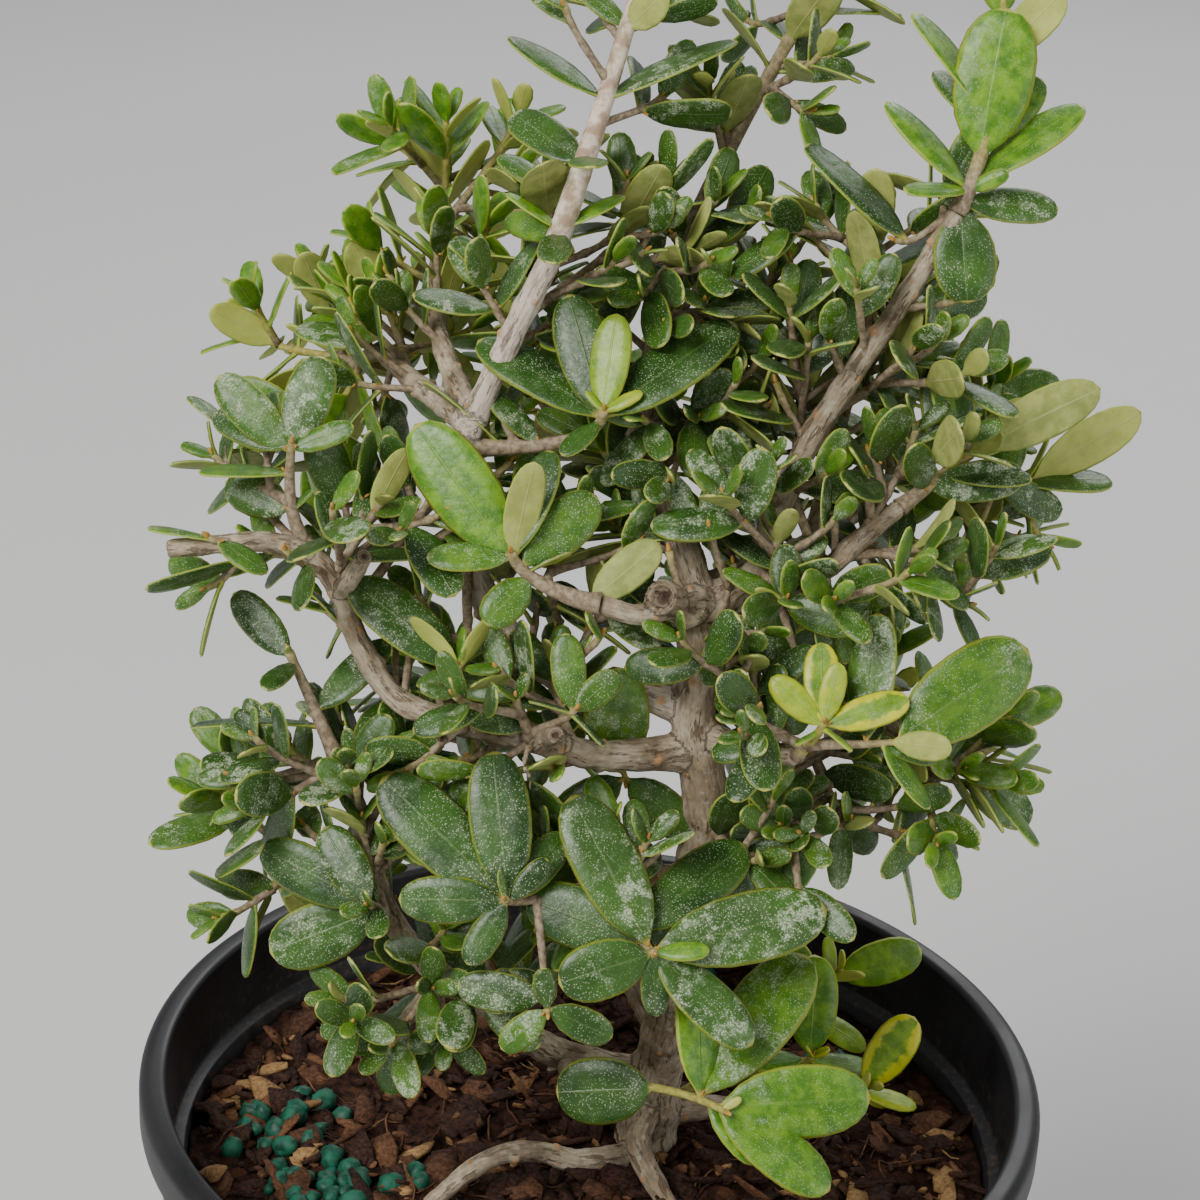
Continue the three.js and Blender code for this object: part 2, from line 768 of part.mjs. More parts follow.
        leaves: [
          [0.95, 16, 1, 6, "front", 0.5, 0.75],
          [0.85, -12, 5, 12, "front", 0.45, 0.7],
          [0.75, 12, -6, -3, "up", 0.42, 0.8],
        ],
      },
      {
        at: 0.45, tip: [41, 6, 160], aim: [0.2, -0.4, 1], radius: 0.9, pairs: 2, leaf: 9, tone: 0.7,
        leaves: [
          [0.9, 0, 7, 18, "front", 0.5, 0.7],
          [0.85, 15, 3, -3, "up", 0.42, 0.6],
          [0.8, -13, -3, 2, "up", 0.42, 0.6],
        ],
      },
      {
        at: 0.35, tip: [52, 3, 156], aim: [1, -0.3, 1], radius: 0.9, pairs: 2, leaf: 9, turn: 50,
        tone: 0.8,
        leaves: [
          [0.93, 9, 5, 13, "front", 0.5, 1],
          [0.9, 11, -2, -1, "up", 0.45, 0.9],
          [0.8, -2, -11, 4, "up", 0.42, 0.8],
        ],
      },
    ],
  },
  low_right: {
    on: "low_right",
    at: 1,
    shoots: [
      {
        tip: [66, 1, 224], aim: [1, 0.1, 0.6], radius: 1.1, pairs: 5, leaf: 17, turn: 30, tone: 0.3,
        twigs: 2,
      },
    ],
  },
  low_right_in: {
    on: "low_right",
    at: 0.55,
    shoots: [
      { tip: [42, -13, 220], aim: [0.2, -0.4, 1], radius: 1, pairs: 4, leaf: 15, twigs: 2 },
    ],
  },
  low_right_front: {
    on: "trunk",
    at: 0.42,
    shoots: [
      { tip: [26, -25, 218], aim: [0.7, -0.9, 1], radius: 1, pairs: 4, leaf: 15, turn: 30, twigs: 1 },
    ],
  },
  rear: {
    on: "rear",
    at: 1,
    shoots: [
      {
        tip: [-20, 58, 276], aim: [-0.4, 0.7, 1], radius: 1.2, pairs: 4, leaf: 17, tone: 0.3, twigs: 2,
      },
      { at: 0.3, tip: [4, 60, 272], aim: [0.6, 1, 0.9], radius: 0.9, pairs: 4, leaf: 15, tone: 0.2 },
    ],
  },
  rear_right: {
    on: "rear_right",
    at: 1,
    shoots: [
      { tip: [60, 46, 276], aim: [0.6, 0.5, 1], radius: 1.3, pairs: 4, leaf: 17, tone: 0.3, twigs: 2 },
      { at: 0.3, tip: [38, 56, 268], aim: [-0.1, 1, 0.8], radius: 0.9, pairs: 3, leaf: 15, tone: 0.2 },
      {
        at: 0.4, tip: [66, 26, 262], aim: [1, 0, 0.4], radius: 0.9, pairs: 3, leaf: 15, turn: 60,
        tone: 0.1,
      },
    ],
  },
  rear_right_high: {
    on: "rear_right",
    at: 0.6,
    shoots: [
      { tip: [44, 40, 300], aim: [0.2, 0.3, 1], radius: 1.2, pairs: 4, leaf: 16, tone: 0.2, twigs: 1 },
    ],
  },
  low_rear: {
    on: "low_rear",
    at: 1,
    shoots: [
      { tip: [34, 46, 232], aim: [0.2, 0.8, 1], radius: 1.2, pairs: 4, leaf: 17, tone: 0.3, twigs: 2 },
      { at: 0.3, tip: [52, 32, 224], aim: [1, 0.2, 0.8], radius: 0.9, pairs: 3, leaf: 14, tone: 0.2 },
    ],
  },
  low_rear_left: {
    on: "low_rear_left",
    at: 1,
    shoots: [
      {
        tip: [-32, 38, 218], aim: [-0.4, 0.4, 1], radius: 1.2, pairs: 4, leaf: 16, tone: 0.3, twigs: 2,
      },
      { at: 0.3, tip: [-14, 46, 210], aim: [0.4, 1, 0.7], radius: 0.9, pairs: 3, leaf: 14, tone: 0.2 },
    ],
  },
};

// Numbers and vectors

const radians = THREE.MathUtils.degToRad;
const vector = (list) => new THREE.Vector3(...list);
const mix = (a, b, t) => a + (b - a) * t;

function draws(seed) {
  let state = seed | 0;
  return () => {
    state = (state + 0x6d2b79f5) | 0;
    let t = Math.imul(state ^ (state >>> 15), 1 | state);
    t = (t + Math.imul(t ^ (t >>> 7), 61 | t)) ^ t;
    return ((t ^ (t >>> 14)) >>> 0) / 4294967296;
  };
}

// A value between the two entries of a list that lie round the fraction t of it
function along(list, t) {
  const place = t * (list.length - 1);
  const index = Math.min(Math.floor(place), list.length - 2);
  return mix(list[index], list[index + 1], place - index);
}

// The part of a vector that is square to a direction, one long
function squareTo(direction, v) {
  return v.clone().addScaledVector(direction, -v.dot(direction)).normalize();
}

// Solids

function solidOf(geometry) {
  geometry.deleteAttribute("normal");
  geometry.deleteAttribute("uv");
  const merged = mergeVertices(geometry, 1e-4);
  return new wasm.Manifold(
    new wasm.Mesh({
      numProp: 3,
      vertProperties: merged.attributes.position.array,
      triVerts: new Uint32Array(merged.index.array),
    }),
  );
}

function meshOf(solid, name, material) {
  const data = solid.getMesh();
  const geometry = new THREE.BufferGeometry();
  geometry.setAttribute("position", new THREE.BufferAttribute(data.vertProperties, 3));
  geometry.setIndex(new THREE.BufferAttribute(data.triVerts, 1));
  geometry.computeVertexNormals();
  const mesh = new THREE.Mesh(geometry, material);
  mesh.name = name;
  return mesh;
}

// The largest body of a solid, without slivers: a boolean cut can leave loose scraps and very short edges
function tidied(solid) {
  const bodies = solid.asOriginal().simplify(SHORTEST_EDGE).decompose();
  return bodies.reduce((a, b) => (a.volume() > b.volume() ? a : b));
}

const union = (solids) => wasm.Manifold.union(solids);

// A round tapering solid along a curve, with "grow" added all round and at both ends
function limb(curve, radii, sides, steps, grow = 0) {
  const frames = curve.computeFrenetFrames(steps, false);
  const points = [];
  const faces = [];
  for (let i = 0; i <= steps; i++) {
    const centre = curve.getPointAt(i / steps);
    if (i === 0) centre.addScaledVector(frames.tangents[0], -grow);
    if (i === steps) centre.addScaledVector(frames.tangents[steps], grow);
    const radius = along(radii, i / steps) + grow;
    for (let k = 0; k < sides; k++) {
      const angle = (2 * Math.PI * k) / sides;
      const point = centre.clone();
      point.addScaledVector(frames.normals[i], radius * Math.cos(angle));
      point.addScaledVector(frames.binormals[i], radius * Math.sin(angle));
      points.push(...point.toArray());
      if (i < steps) {
        const here = i * sides + k;
        const next = i * sides + ((k + 1) % sides);
        faces.push(here, next, next + sides, here, next + sides, here + sides);
      }
    }
  }
  const last = steps * sides;
  for (let k = 1; k < sides - 1; k++) {
    faces.push(0, k + 1, k, last, last + k, last + k + 1);
  }
  const geometry = new THREE.BufferGeometry();
  geometry.setAttribute("position", new THREE.Float32BufferAttribute(points, 3));
  geometry.setIndex(faces);
  return solidOf(geometry);
}

// Pot

// The pot's inner wall is straight between these two points of its outline
function innerWall() {
  const wallTop = POT.rimRadius - LIP.reach - 1 - BAND.step;
  return {
    low: [POT.footRadius - POT.wall - 1, POT.footRing + POT.floor + 2],
    high: [wallTop - POT.wall + 0.2, BAND.ledge],
  };
}

function potSolid() {
  const { height, rimRadius, footRadius, wall, floor, footRing, segments } = POT;
  const bandRadius = rimRadius - LIP.reach;
  const bandFoot = bandRadius - 1;
  const floorTop = footRing + floor;
  const inner = innerWall();
  const profile = [
    [0, 0],
    [PAD.radius, 0],
    [PAD.radius + PAD.slope, footRing],
    [footRadius - 4, footRing],
    [footRadius - 3, 0],
    [footRadius, 0],
    [bandFoot - BAND.step, BAND.low - 2],
    [bandFoot, BAND.low],
    [bandRadius, LIP.low - 1],
    [rimRadius - 0.6, LIP.low],
    [rimRadius, LIP.low + LIP.round],
    [rimRadius, height - LIP.round],
    [rimRadius - LIP.round, height],
    [bandRadius - wall + 0.4, height],
    [bandRadius - wall - 0.4, height - LIP.round],
    [bandFoot - wall, BAND.ledge + 0.8],
    inner.high,
    inner.low,
    [footRadius - wall - 3, floorTop],
    [PAD.radius + PAD.slope, floorTop],
    [PAD.radius, floor],
    [0, floor],
  ].map(([radius, z]) => new THREE.Vector2(radius, z));
  let pot = solidOf(new THREE.LatheGeometry(profile, segments).rotateX(Math.PI / 2));
  for (let i = 0; i < DRAIN.count; i++) {
    const angle = (2 * Math.PI * (i + 0.5)) / DRAIN.count;
    const drill = new THREE.CylinderGeometry(DRAIN.radius, DRAIN.radius, 4 * floor, 8);
    drill.rotateX(Math.PI / 2);
    drill.translate(DRAIN.ring * Math.cos(angle), DRAIN.ring * Math.sin(angle), footRing + floor / 2);
    pot = pot.subtract(solidOf(drill));
  }
  return pot;
}

// The radius of the pot's inner wall below the ledge, at a height
function innerRadius(z) {
  const { low, high } = innerWall();
  return mix(low[0], high[0], (z - low[1]) / (high[1] - low[1]));
}

// Compost: a bed that fills the pot, with a rough top

function compostSolid() {
  const floorTop = POT.footRing + POT.floor;
  const low = floorTop + SEAT;
  const edge = innerRadius(COMPOST.top) - SEAT;
  const profile = [
    [0, low - POT.footRing],
    [PAD.radius - SEAT, low - POT.footRing],
    [PAD.radius + PAD.slope - SEAT, low],
    [POT.footRadius - POT.wall - 4, low],
    [innerRadius(floorTop + 4) - SEAT, floorTop + 4],
  ];
  for (let ring = COMPOST.rings; ring >= 0; ring--) {
    profile.push([(edge * ring) / COMPOST.rings, COMPOST.top]);
  }
  const outline = profile.map(([radius, z]) => new THREE.Vector2(radius, z));
  const geometry = new THREE.LatheGeometry(outline, COMPOST.segments).rotateX(Math.PI / 2);
  const position = geometry.attributes.position;
  for (let i = 0; i < position.count; i++) {
    if (position.getZ(i) < COMPOST.top - 1) continue;
    const x = Math.round(position.getX(i) * 100) / 100;
    const y = Math.round(position.getY(i) * 100) / 100;
    const swell = 0.6 * Math.sin(0.11 * x + 1) * Math.cos(0.13 * y);
    const chips = Math.sin(1.7 * x + 2.3 * y) * Math.cos(2.9 * x - 1.3 * y);
    position.setZ(i, COMPOST.top + swell + COMPOST.relief * chips);
  }
  return solidOf(geometry);
}

// Wood

const limbCurves = Object.fromEntries(
  Object.entries(WOOD).map(([name, { points }]) => [
    name,
    new THREE.CatmullRomCurve3(points.map(vector), false, "catmullrom"),
  ]),
);

function woodSolid(grow = 0) {
  return union(
    Object.entries(WOOD).map(([name, { points, radii }]) => {
      const sides = radii[0] > THICK_LIMB ? LIMB_SIDES.thick : LIMB_SIDES.thin;
      return limb(limbCurves[name], radii, sides, Math.max(3, points.length - 1), grow);
    }),
  );
}

// Leaves: each is a plain record of its foot, its direction, its upper face's normal and its size.
// "root" is where the solid starts, in the middle of the coarse shoot that carries it.

function halfWidth(leaf, s) {
  const u = THREE.MathUtils.clamp((s - 0.06) / 0.94, 0, 1);
  const bulge = 1 - Math.abs(2 * u ** 1.15 - 1) ** 2.5;
  return Math.max(s < 0.9 ? BLADE.stalk : 0, (leaf.width / 2) * Math.max(0, bulge) ** 0.55);
}

// A point of the leaf: s runs from foot to tip, q from edge to edge, lift is along the normal
function bladePoint(leaf, s, q, lift) {
  return leaf.foot
    .clone()
    .addScaledVector(leaf.direction, leaf.length * s)
    .addScaledVector(leaf.across, q)
    .addScaledVector(leaf.normal, lift - BLADE.sag * leaf.length * s * s);
}

function bladeSolid(leaf, grow = 0) {
  const stations = leaf.length < BLADE.large ? [0.4, 0.8] : [0.26, 0.6, 0.88];
  const half = BLADE.thickness / 2 + grow;
  const points = [];
  for (const lift of [half, -half]) {
    points.push(...leaf.root.clone().addScaledVector(leaf.normal, lift).toArray());
    for (const s of stations) {
      const width = halfWidth(leaf, s) + grow;
      points.push(...bladePoint(leaf, s, -width, lift).toArray());
      points.push(...bladePoint(leaf, s, width, lift).toArray());
    }
    points.push(...bladePoint(leaf, 1 + grow / leaf.length, 0, lift).toArray());
  }
  const tip = 2 * stations.length + 1;
  const under = tip + 1;
  const faces = [];
  const both = (a, b, c) => faces.push(a, b, c, under + a, under + c, under + b);
  const side = (a, b) => faces.push(a, under + b, b, a, under + a, under + b);
  both(0, 1, 2);
  side(0, 1);
  side(2, 0);
  for (let i = 1; i < tip - 2; i += 2) {
    both(i, i + 2, i + 3);
    both(i, i + 3, i + 1);
    side(i, i + 2);
    side(i + 3, i + 1);
  }
  both(tip - 2, tip, tip - 1);
  side(tip - 2, tip);
  side(tip, tip - 1);
  const geometry = new THREE.BufferGeometry();
  geometry.setAttribute("position", new THREE.Float32BufferAttribute(points, 3));
  geometry.setIndex(faces);
  return solidOf(geometry);
}

// Shoots and the leaves on them

function makeLeaf(foot, direction, normal, length, width) {
  const across = new THREE.Vector3().crossVectors(normal, direction);
  return { foot, direction, normal, across, length, width };
}

// The number of straight steps that a shoot's solid is made of
function shootSteps({ curve, start }) {
  return start || curve.getLength() > LONG_SHOOT ? 3 : 2;
}

// The point nearest to a leaf's foot on the straight steps of its shoot
function rootOf(leaf, shoot) {
  const corners = shoot.curve.getSpacedPoints(shootSteps(shoot));
  const near = corners.slice(1).map((corner, i) => {
    const step = new THREE.Line3(corners[i], corner);
    return step.closestPointToPoint(leaf.foot, true, new THREE.Vector3());
  });
  return near.reduce((a, b) => (a.distanceTo(leaf.foot) < b.distanceTo(leaf.foot) ? a : b));
}

function shootCurve(base, { tip, aim, start }) {
  const end = vector(tip);
  const reach = base.distanceTo(end) / 3;
  const away = start ? vector(start).normalize() : end.clone().sub(base).normalize();
  return new THREE.CubicBezierCurve3(
    base,
    base.clone().addScaledVector(away, reach),
    end.clone().addScaledVector(vector(aim).normalize(), -reach),
    end,
  );
}

// Two directions square to an axis, from which turns are counted
function turnFrame(axis) {
  const first = new THREE.Vector3().crossVectors(axis, LEAN).normalize();
  return [first, new THREE.Vector3().crossVectors(axis, first)];
}

function turned(axis, degrees) {
  const [first, second] = turnFrame(axis);
  return first
    .multiplyScalar(Math.cos(radians(degrees)))
    .addScaledVector(second, Math.sin(radians(degrees)));
}

// The short side twigs of a bushy shoot, spread round it by the golden angle
function sideTwigs(shoot, curve, sprayNumber) {
  const twigs = [];
  for (let k = 0; k < (shoot.twigs ?? 0); k++) {
    const draw = draws(sprayNumber * 97 + k * 13 + 5);
    const at = 0.3 + (0.55 * (k + 0.5)) / shoot.twigs;
    const axis = curve.getTangent(at);
    const out = turned(axis, (shoot.turn ?? 0) + 45 + 137.5 * k + (draw() - 0.5) * 40);
    const way = axis.clone().multiplyScalar(0.55).addScaledVector(out, 0.9);
    way.z += 0.35;
    way.normalize();
    const tip = curve.getPoint(at).addScaledVector(way, 13 + draw() * 8);
    const aim = way.clone().add(new THREE.Vector3(0, 0, 0.6));
    twigs.push({
      at,
      tip: tip.toArray(),
      aim: aim.toArray(),
      radius: 0.8,
      pairs: 3,
      leaf: 12 + 5 * draw(),
      turn: draw() * 90,
      side: k,
    });
  }
  return twigs;
}

// One leaf of a pair, by rule; "shift" is a try at another turn and opening when the first is blocked
function pairLeaf(shoot, curve, lengths, number, pair, side, shift) {
  const draw = draws(number * 64 + pair * 2 + side);
  const back = Math.max(1.5 + 0.3 * pair, lengths.total - PAIR_BACK[pair]);
  const t = lengths.fraction(back);
  const axis = curve.getTangent(t);
  const turn = (shoot.turn ?? 0) + 90 * (pair % 2) + 180 * side + (draw() - 0.5) * 24 + shift[0];
  const open = radians(PAIR_OPEN[pair] + (draw() - 0.5) * 16 + shift[1]);
  const size = shoot.leaf * PAIR_SIZE[pair] * (side ? 0.94 : 1) * (1 + (draw() - 0.5) * 0.16);
  const roll = radians((draw() - 0.5) * 30);
  const width = size * (size > 9 ? 0.4 + 0.12 * draw() : 0.44 + 0.1 * draw());
  const direction = axis
    .clone()
    .multiplyScalar(Math.cos(open))
    .addScaledVector(turned(axis, turn), Math.sin(open))
    .normalize();
  const foot = curve.getPoint(t);
  const outward = foot.clone().sub(CROWN_AXIS).setZ(0);
  outward.multiplyScalar(0.6 / Math.max(20, outward.length())).add(LIGHT);
  outward.addScaledVector(direction, -outward.dot(direction));
  const normal = squareTo(direction, axis).addScaledVector(outward, 1.1);
  const upper = squareTo(direction, normal).applyAxisAngle(direction, roll);
  return makeLeaf(foot, direction, upper, size, width);
}

// A leaf placed by hand: [fraction of the shoot, tip from its foot, face, width to length].
// One that looks narrower than a leaf grows is turned about its own length, with its face towards the sky.
function ownLeaf(curve, [t, x, y, z, face, ratio]) {
  const reach = new THREE.Vector3(x, y, z);
  const length = reach.length();
  const direction = reach.divideScalar(length);
  const normal = squareTo(direction, vector(FACES[face]));
  if (ratio < NARROWEST) {
    const across = new THREE.Vector3().crossVectors(direction, normal);
    const turn = Math.acos(ratio / NARROWEST);
    normal.multiplyScalar(Math.cos(turn)).addScaledVector(across, Math.sign(across.z) * Math.sin(turn));
  }
  const width = length * Math.max(ratio, NARROWEST);
  return makeLeaf(curve.getPoint(t), direction, normal, length, width);
}

// Arc lengths of a shoot, sampled at even steps of its parameter
function arcLengths(curve) {
  const steps = 32;
  const points = Array.from({ length: steps + 1 }, (_, i) => curve.getPoint(i / steps));
  const sums = [0];
  for (let i = 1; i <= steps; i++) sums.push(sums[i - 1] + points[i].distanceTo(points[i - 1]));
  const total = sums[steps];
  const fraction = (length) => {
    const index = Math.max(1, sums.findIndex((sum) => sum >= length));
    const step = (length - sums[index - 1]) / (sums[index] - sums[index - 1]);
    return Math.min(1, (index - 1 + step) / steps);
  };
  return { total, fraction };
}

// Whether leaf a comes nearer than the clearance to leaf b, or cuts through it
const ALONG = [0.2, 0.45, 0.7, 0.95];
const ACROSS = [-0.85, 0, 0.85];

function localGrid(a, b) {
  return ALONG.map((s) =>
    ACROSS.map((q) => {
      const v = bladePoint(a, s, q * halfWidth(a, s), 0).sub(b.foot);
      const x = v.dot(b.direction) / b.length;
      return { x, y: v.dot(b.across), z: v.dot(b.normal) + BLADE.sag * b.length * x * x };
    }),
  );
}

function inside(leaf, x, y) {
  return x > 0.08 && x < 1.03 && Math.abs(y) < halfWidth(leaf, x) + 0.4;
}

function meets(a, b) {
  const grid = localGrid(a, b);
  const crosses = (p, r) => {
    if (p.z * r.z > 0) return false;
    const f = p.z / (p.z - r.z);
    return inside(b, mix(p.x, r.x, f), mix(p.y, r.y, f));
  };
  for (let i = 0; i < ALONG.length; i++) {
    for (let k = 0; k < ACROSS.length; k++) {
      const p = grid[i][k];
      if (Math.abs(p.z) < CLEARANCE && inside(b, p.x, p.y)) return true;
      if (i > 0 && crosses(grid[i - 1][k], p)) return true;
      if (k > 0 && crosses(grid[i][k - 1], p)) return true;
    }
  }
  return false;
}

function nearBark(leaf, bark, shootNumber) {
  return bark.some(({ point, radius, shoot }) => {
    if (shoot === shootNumber) return false;
    if (point.distanceTo(leaf.foot) > leaf.length + radius + CLEARANCE) return false;
    return ALONG.some((s) =>
      ACROSS.some((q) => {
        const sample = bladePoint(leaf, s, q * halfWidth(leaf, s), 0);
        return sample.distanceTo(point) < radius + CLEARANCE;
      }),
    );
  });
}

const SHIFTS = [
  [0, 0],
  [16, 0],
  [-16, 0],
  [0, -14],
  [32, -8],
  [-32, -8],
  [12, 14],
  [-12, 14],
];

// Grows every spray: its shoots first, then the leaves placed by hand, then the pairs that find room
function growSprays() {
  const shoots = [];
  const bark = [];
  for (const [name, { points, radii }] of Object.entries(WOOD)) {
    const steps = (points.length - 1) * 5;
    for (let i = 0; i <= steps; i++) {
      bark.push({
        point: limbCurves[name].getPoint(i / steps),
        radius: along(radii, i / steps),
        shoot: -1,
      });
    }
  }
  Object.entries(SPRAYS).forEach(([name, spray], sprayNumber) => {
    const root = limbCurves[spray.on].getPoint(spray.at);
    const main = shootCurve(root, spray.shoots[0]);
    const rows = [...spray.shoots, ...sideTwigs(spray.shoots[0], main, sprayNumber)];
    rows.forEach((row, k) => {
      const curve = k === 0 ? main : shootCurve(main.getPoint(row.at), row);
      const number = shoots.length;
      const rank = row.side !== undefined ? "twig" : k === 0 ? "main" : "other";
      shoots.push({ ...row, spray: name, number, rank, curve });
      for (let i = 0; i <= 10; i++) {
        const radius = mix(row.radius, Math.max(0.55, 0.55 * row.radius), i / 10);
        bark.push({ point: curve.getPoint(i / 10), radius, shoot: number });
      }
    });
  });

  const leaves = [];
  for (const shoot of shoots) {
    for (const own of shoot.leaves ?? []) {
      const leaf = ownLeaf(shoot.curve, own);
      if (leaf.length > BLADE.least) {
        leaves.push({ ...leaf, root: rootOf(leaf, shoot), spray: shoot.spray });
      }
    }
  }
  const placed = leaves.slice();
  const free = (leaf, number) =>
    !nearBark(leaf, bark, number) &&
    !placed.some((other) => {
      const reach = (leaf.length + other.length) * 1.05;
      return leaf.foot.distanceTo(other.foot) < reach && (meets(leaf, other) || meets(other, leaf));
    });
  for (const shoot of shoots) {
    if (shoot.side % 2 === 1) continue;
    const lengths = arcLengths(shoot.curve);
    for (const pair of PAIRS_BUILT[shoot.rank].filter((p) => p < (shoot.pairs ?? 0))) {
      for (const side of [0, 1]) {
        for (const shift of SHIFTS) {
          const leaf = pairLeaf(shoot, shoot.curve, lengths, shoot.number + 1, pair, side, shift);
          if (!free(leaf, shoot.number)) continue;
          placed.push(leaf);
          leaves.push({ ...leaf, root: rootOf(leaf, shoot), spray: shoot.spray });
          break;
        }
      }
    }
  }
  return { shoots, leaves };
}

// One solid for each spray. A leaf gives way to the wood and to other sprays' twigs, and later sprays to earlier leaves.
function spraySolids(wood) {
  const { shoots, leaves } = growSprays();
  const names = Object.keys(SPRAYS);
  const twigs = {};
  const wideTwigs = {};
  for (const name of names) {
    const own = shoots.filter((shoot) => shoot.spray === name && shoot.side !== 1);
    const build = (grow) =>
      union(
        own.map((shoot) => {
          const radii = [shoot.radius, Math.max(0.55, 0.55 * shoot.radius)];
          const sides = shoot.rank === "twig" ? TWIG_SIDES : SHOOT_SIDES;
          return limb(shoot.curve, radii, sides, shootSteps(shoot), grow);
        }),
      );
    twigs[name] = build(0);
    wideTwigs[name] = build(TWIG_GAP);
  }
  const meets = (a, b) => {
    const p = a.boundingBox();
    const q = b.boundingBox();
    return [0, 1, 2].every((i) => p.min[i] < q.max[i] && q.min[i] < p.max[i]);
  };
  const cut = (solid, others) => {
    const near = others.filter((other) => meets(solid, other));
    return near.length ? solid.subtract(union(near)) : solid;
  };
  const done = [];
  const wideLeaves = [];
  for (const name of names) {
    const own = leaves.filter((leaf) => leaf.spray === name);
    const rivals = names.filter((other) => other !== name).map((other) => wideTwigs[other]);
    const blades = cut(union(own.map((leaf) => bladeSolid(leaf))), rivals);
    const spray = cut(union([twigs[name], blades]), [wood, ...wideLeaves]);
    done.push([name, tidied(spray)]);
    wideLeaves.push(cut(union(own.map((leaf) => bladeSolid(leaf, LEAF_GAP))), rivals));
  }
  return done;
}

// Materials

const plastic = new THREE.MeshStandardMaterial({ color: 0x202022, roughness: 0.55, metalness: 0 });
const earth = new THREE.MeshStandardMaterial({ color: 0x4b3226, roughness: 0.95, metalness: 0 });
const barkBrown = new THREE.MeshStandardMaterial({ color: 0xaf9f8a, roughness: 0.85, metalness: 0 });
const leafGreen = new THREE.MeshStandardMaterial({ color: 0x47693a, roughness: 0.55, metalness: 0 });

// The whole plant

const bonsai = new THREE.Group();
const wideWood = woodSolid(SEAT);
bonsai.add(meshOf(tidied(potSolid()), "pot", plastic));
bonsai.add(meshOf(tidied(compostSolid().subtract(wideWood)), "compost", earth));
bonsai.add(meshOf(tidied(woodSolid()), "trunk", barkBrown));
for (const [name, solid] of spraySolids(wideWood)) {
  bonsai.add(meshOf(solid, `spray_${name}`, leafGreen));
}

export default bonsai;
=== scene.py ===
"""Looks of an olive bonsai in its nursery pot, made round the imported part.

Sizes are in millimetres until a mesh is made. +Z is up and the front faces -Y.
The shoots and leaves grow by the same rules and draws as the part's solids.
"""

import math

import bpy
import numpy as np
from mathutils import Matrix, Vector, noise


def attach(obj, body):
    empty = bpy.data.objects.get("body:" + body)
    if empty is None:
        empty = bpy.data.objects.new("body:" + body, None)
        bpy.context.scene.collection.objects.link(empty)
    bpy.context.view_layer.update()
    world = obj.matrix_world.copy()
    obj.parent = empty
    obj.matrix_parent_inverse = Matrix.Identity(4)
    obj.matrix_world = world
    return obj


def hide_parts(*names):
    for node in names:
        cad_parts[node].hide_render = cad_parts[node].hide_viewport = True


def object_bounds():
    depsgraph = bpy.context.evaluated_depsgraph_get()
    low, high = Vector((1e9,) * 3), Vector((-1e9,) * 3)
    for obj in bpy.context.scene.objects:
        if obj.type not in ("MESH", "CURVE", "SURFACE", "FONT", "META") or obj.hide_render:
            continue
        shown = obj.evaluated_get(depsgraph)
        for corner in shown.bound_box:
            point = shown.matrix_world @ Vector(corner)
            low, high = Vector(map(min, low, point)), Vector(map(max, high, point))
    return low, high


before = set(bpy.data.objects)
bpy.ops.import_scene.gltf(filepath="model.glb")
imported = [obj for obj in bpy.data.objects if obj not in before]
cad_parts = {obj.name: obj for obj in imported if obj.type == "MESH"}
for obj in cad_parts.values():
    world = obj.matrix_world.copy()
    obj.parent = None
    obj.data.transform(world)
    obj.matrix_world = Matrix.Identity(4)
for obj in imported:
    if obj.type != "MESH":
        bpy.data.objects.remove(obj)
cad_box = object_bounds()

MM = 0.001

# The pot and the compost
POT = dict(height=160, rim=82.5, foot=62, wall=1.9, floor=3, foot_ring=2.5, segments=144)
BAND = dict(low=138, step=2.6, ledge=143)
LIP = dict(low=151, reach=2.8)
PAD = dict(radius=30, slope=1.2)
DRAIN = dict(count=6, radius=6, ring=47)
COMPOST_TOP = 140.5
SEAT = 0.35

# The camera, at the photo's angle
CAMERA = dict(place=(-3.0, -469.5, 464.3), lens=90, pitch=math.radians(24.21), roll=math.radians(3.04))
LEVEL = np.array([1.0, 0, 0])
RISING = np.array([0, math.sin(CAMERA["pitch"]), math.cos(CAMERA["pitch"])])
FORWARD = np.array([0, math.cos(CAMERA["pitch"]), -math.sin(CAMERA["pitch"])])
RIGHT = LEVEL * math.cos(CAMERA["roll"]) + RISING * math.sin(CAMERA["roll"])
UP = RISING * math.cos(CAMERA["roll"]) - LEVEL * math.sin(CAMERA["roll"])

# The clearance of the finer trim, and the way that its leaves' upper sides face
TRIM_CLEARANCE = 0.6
LIGHT_SIDE = np.array([0, -0.75, 0.65])

# Rules for leaves and clearances, the same as the solids'. The PAIR lists run from the tip of a shoot
# back: how far back a pair lies, how far it opens in degrees, and its share of the leaf's length.
BLADE = dict(stalk=0.45, sag=0.1, least=11)
NARROWEST = 0.4
CLEARANCE = 1.0
LIGHT = np.array([0, -0.45, 0.8])
LEAN = np.array([0, 0.6, 0.8])
CROWN_AXIS = np.array([10.0, 0, 0])
PAIR_BACK = [0.6, 3.2, 7.5, 12.5, 18, 24]
PAIR_OPEN = [26, 42, 50, 55, 60, 64]
PAIR_SIZE = [0.5, 0.8, 1, 1, 0.92, 0.85]
PAIRS_BUILT = dict(main=[1, 2], other=[2], twig=[1])
GOLDEN_ANGLE = 137.5
FACES = dict(
    front=(0, -0.91, 0.41),
    back=(0, 0.91, -0.41),
    up=(0, -0.25, 0.97),
    right=(0.8, -0.5, 0.3),
)
STUBS = ["knob", "front_stub", "side_stub", "low_stub", "left_stub"]

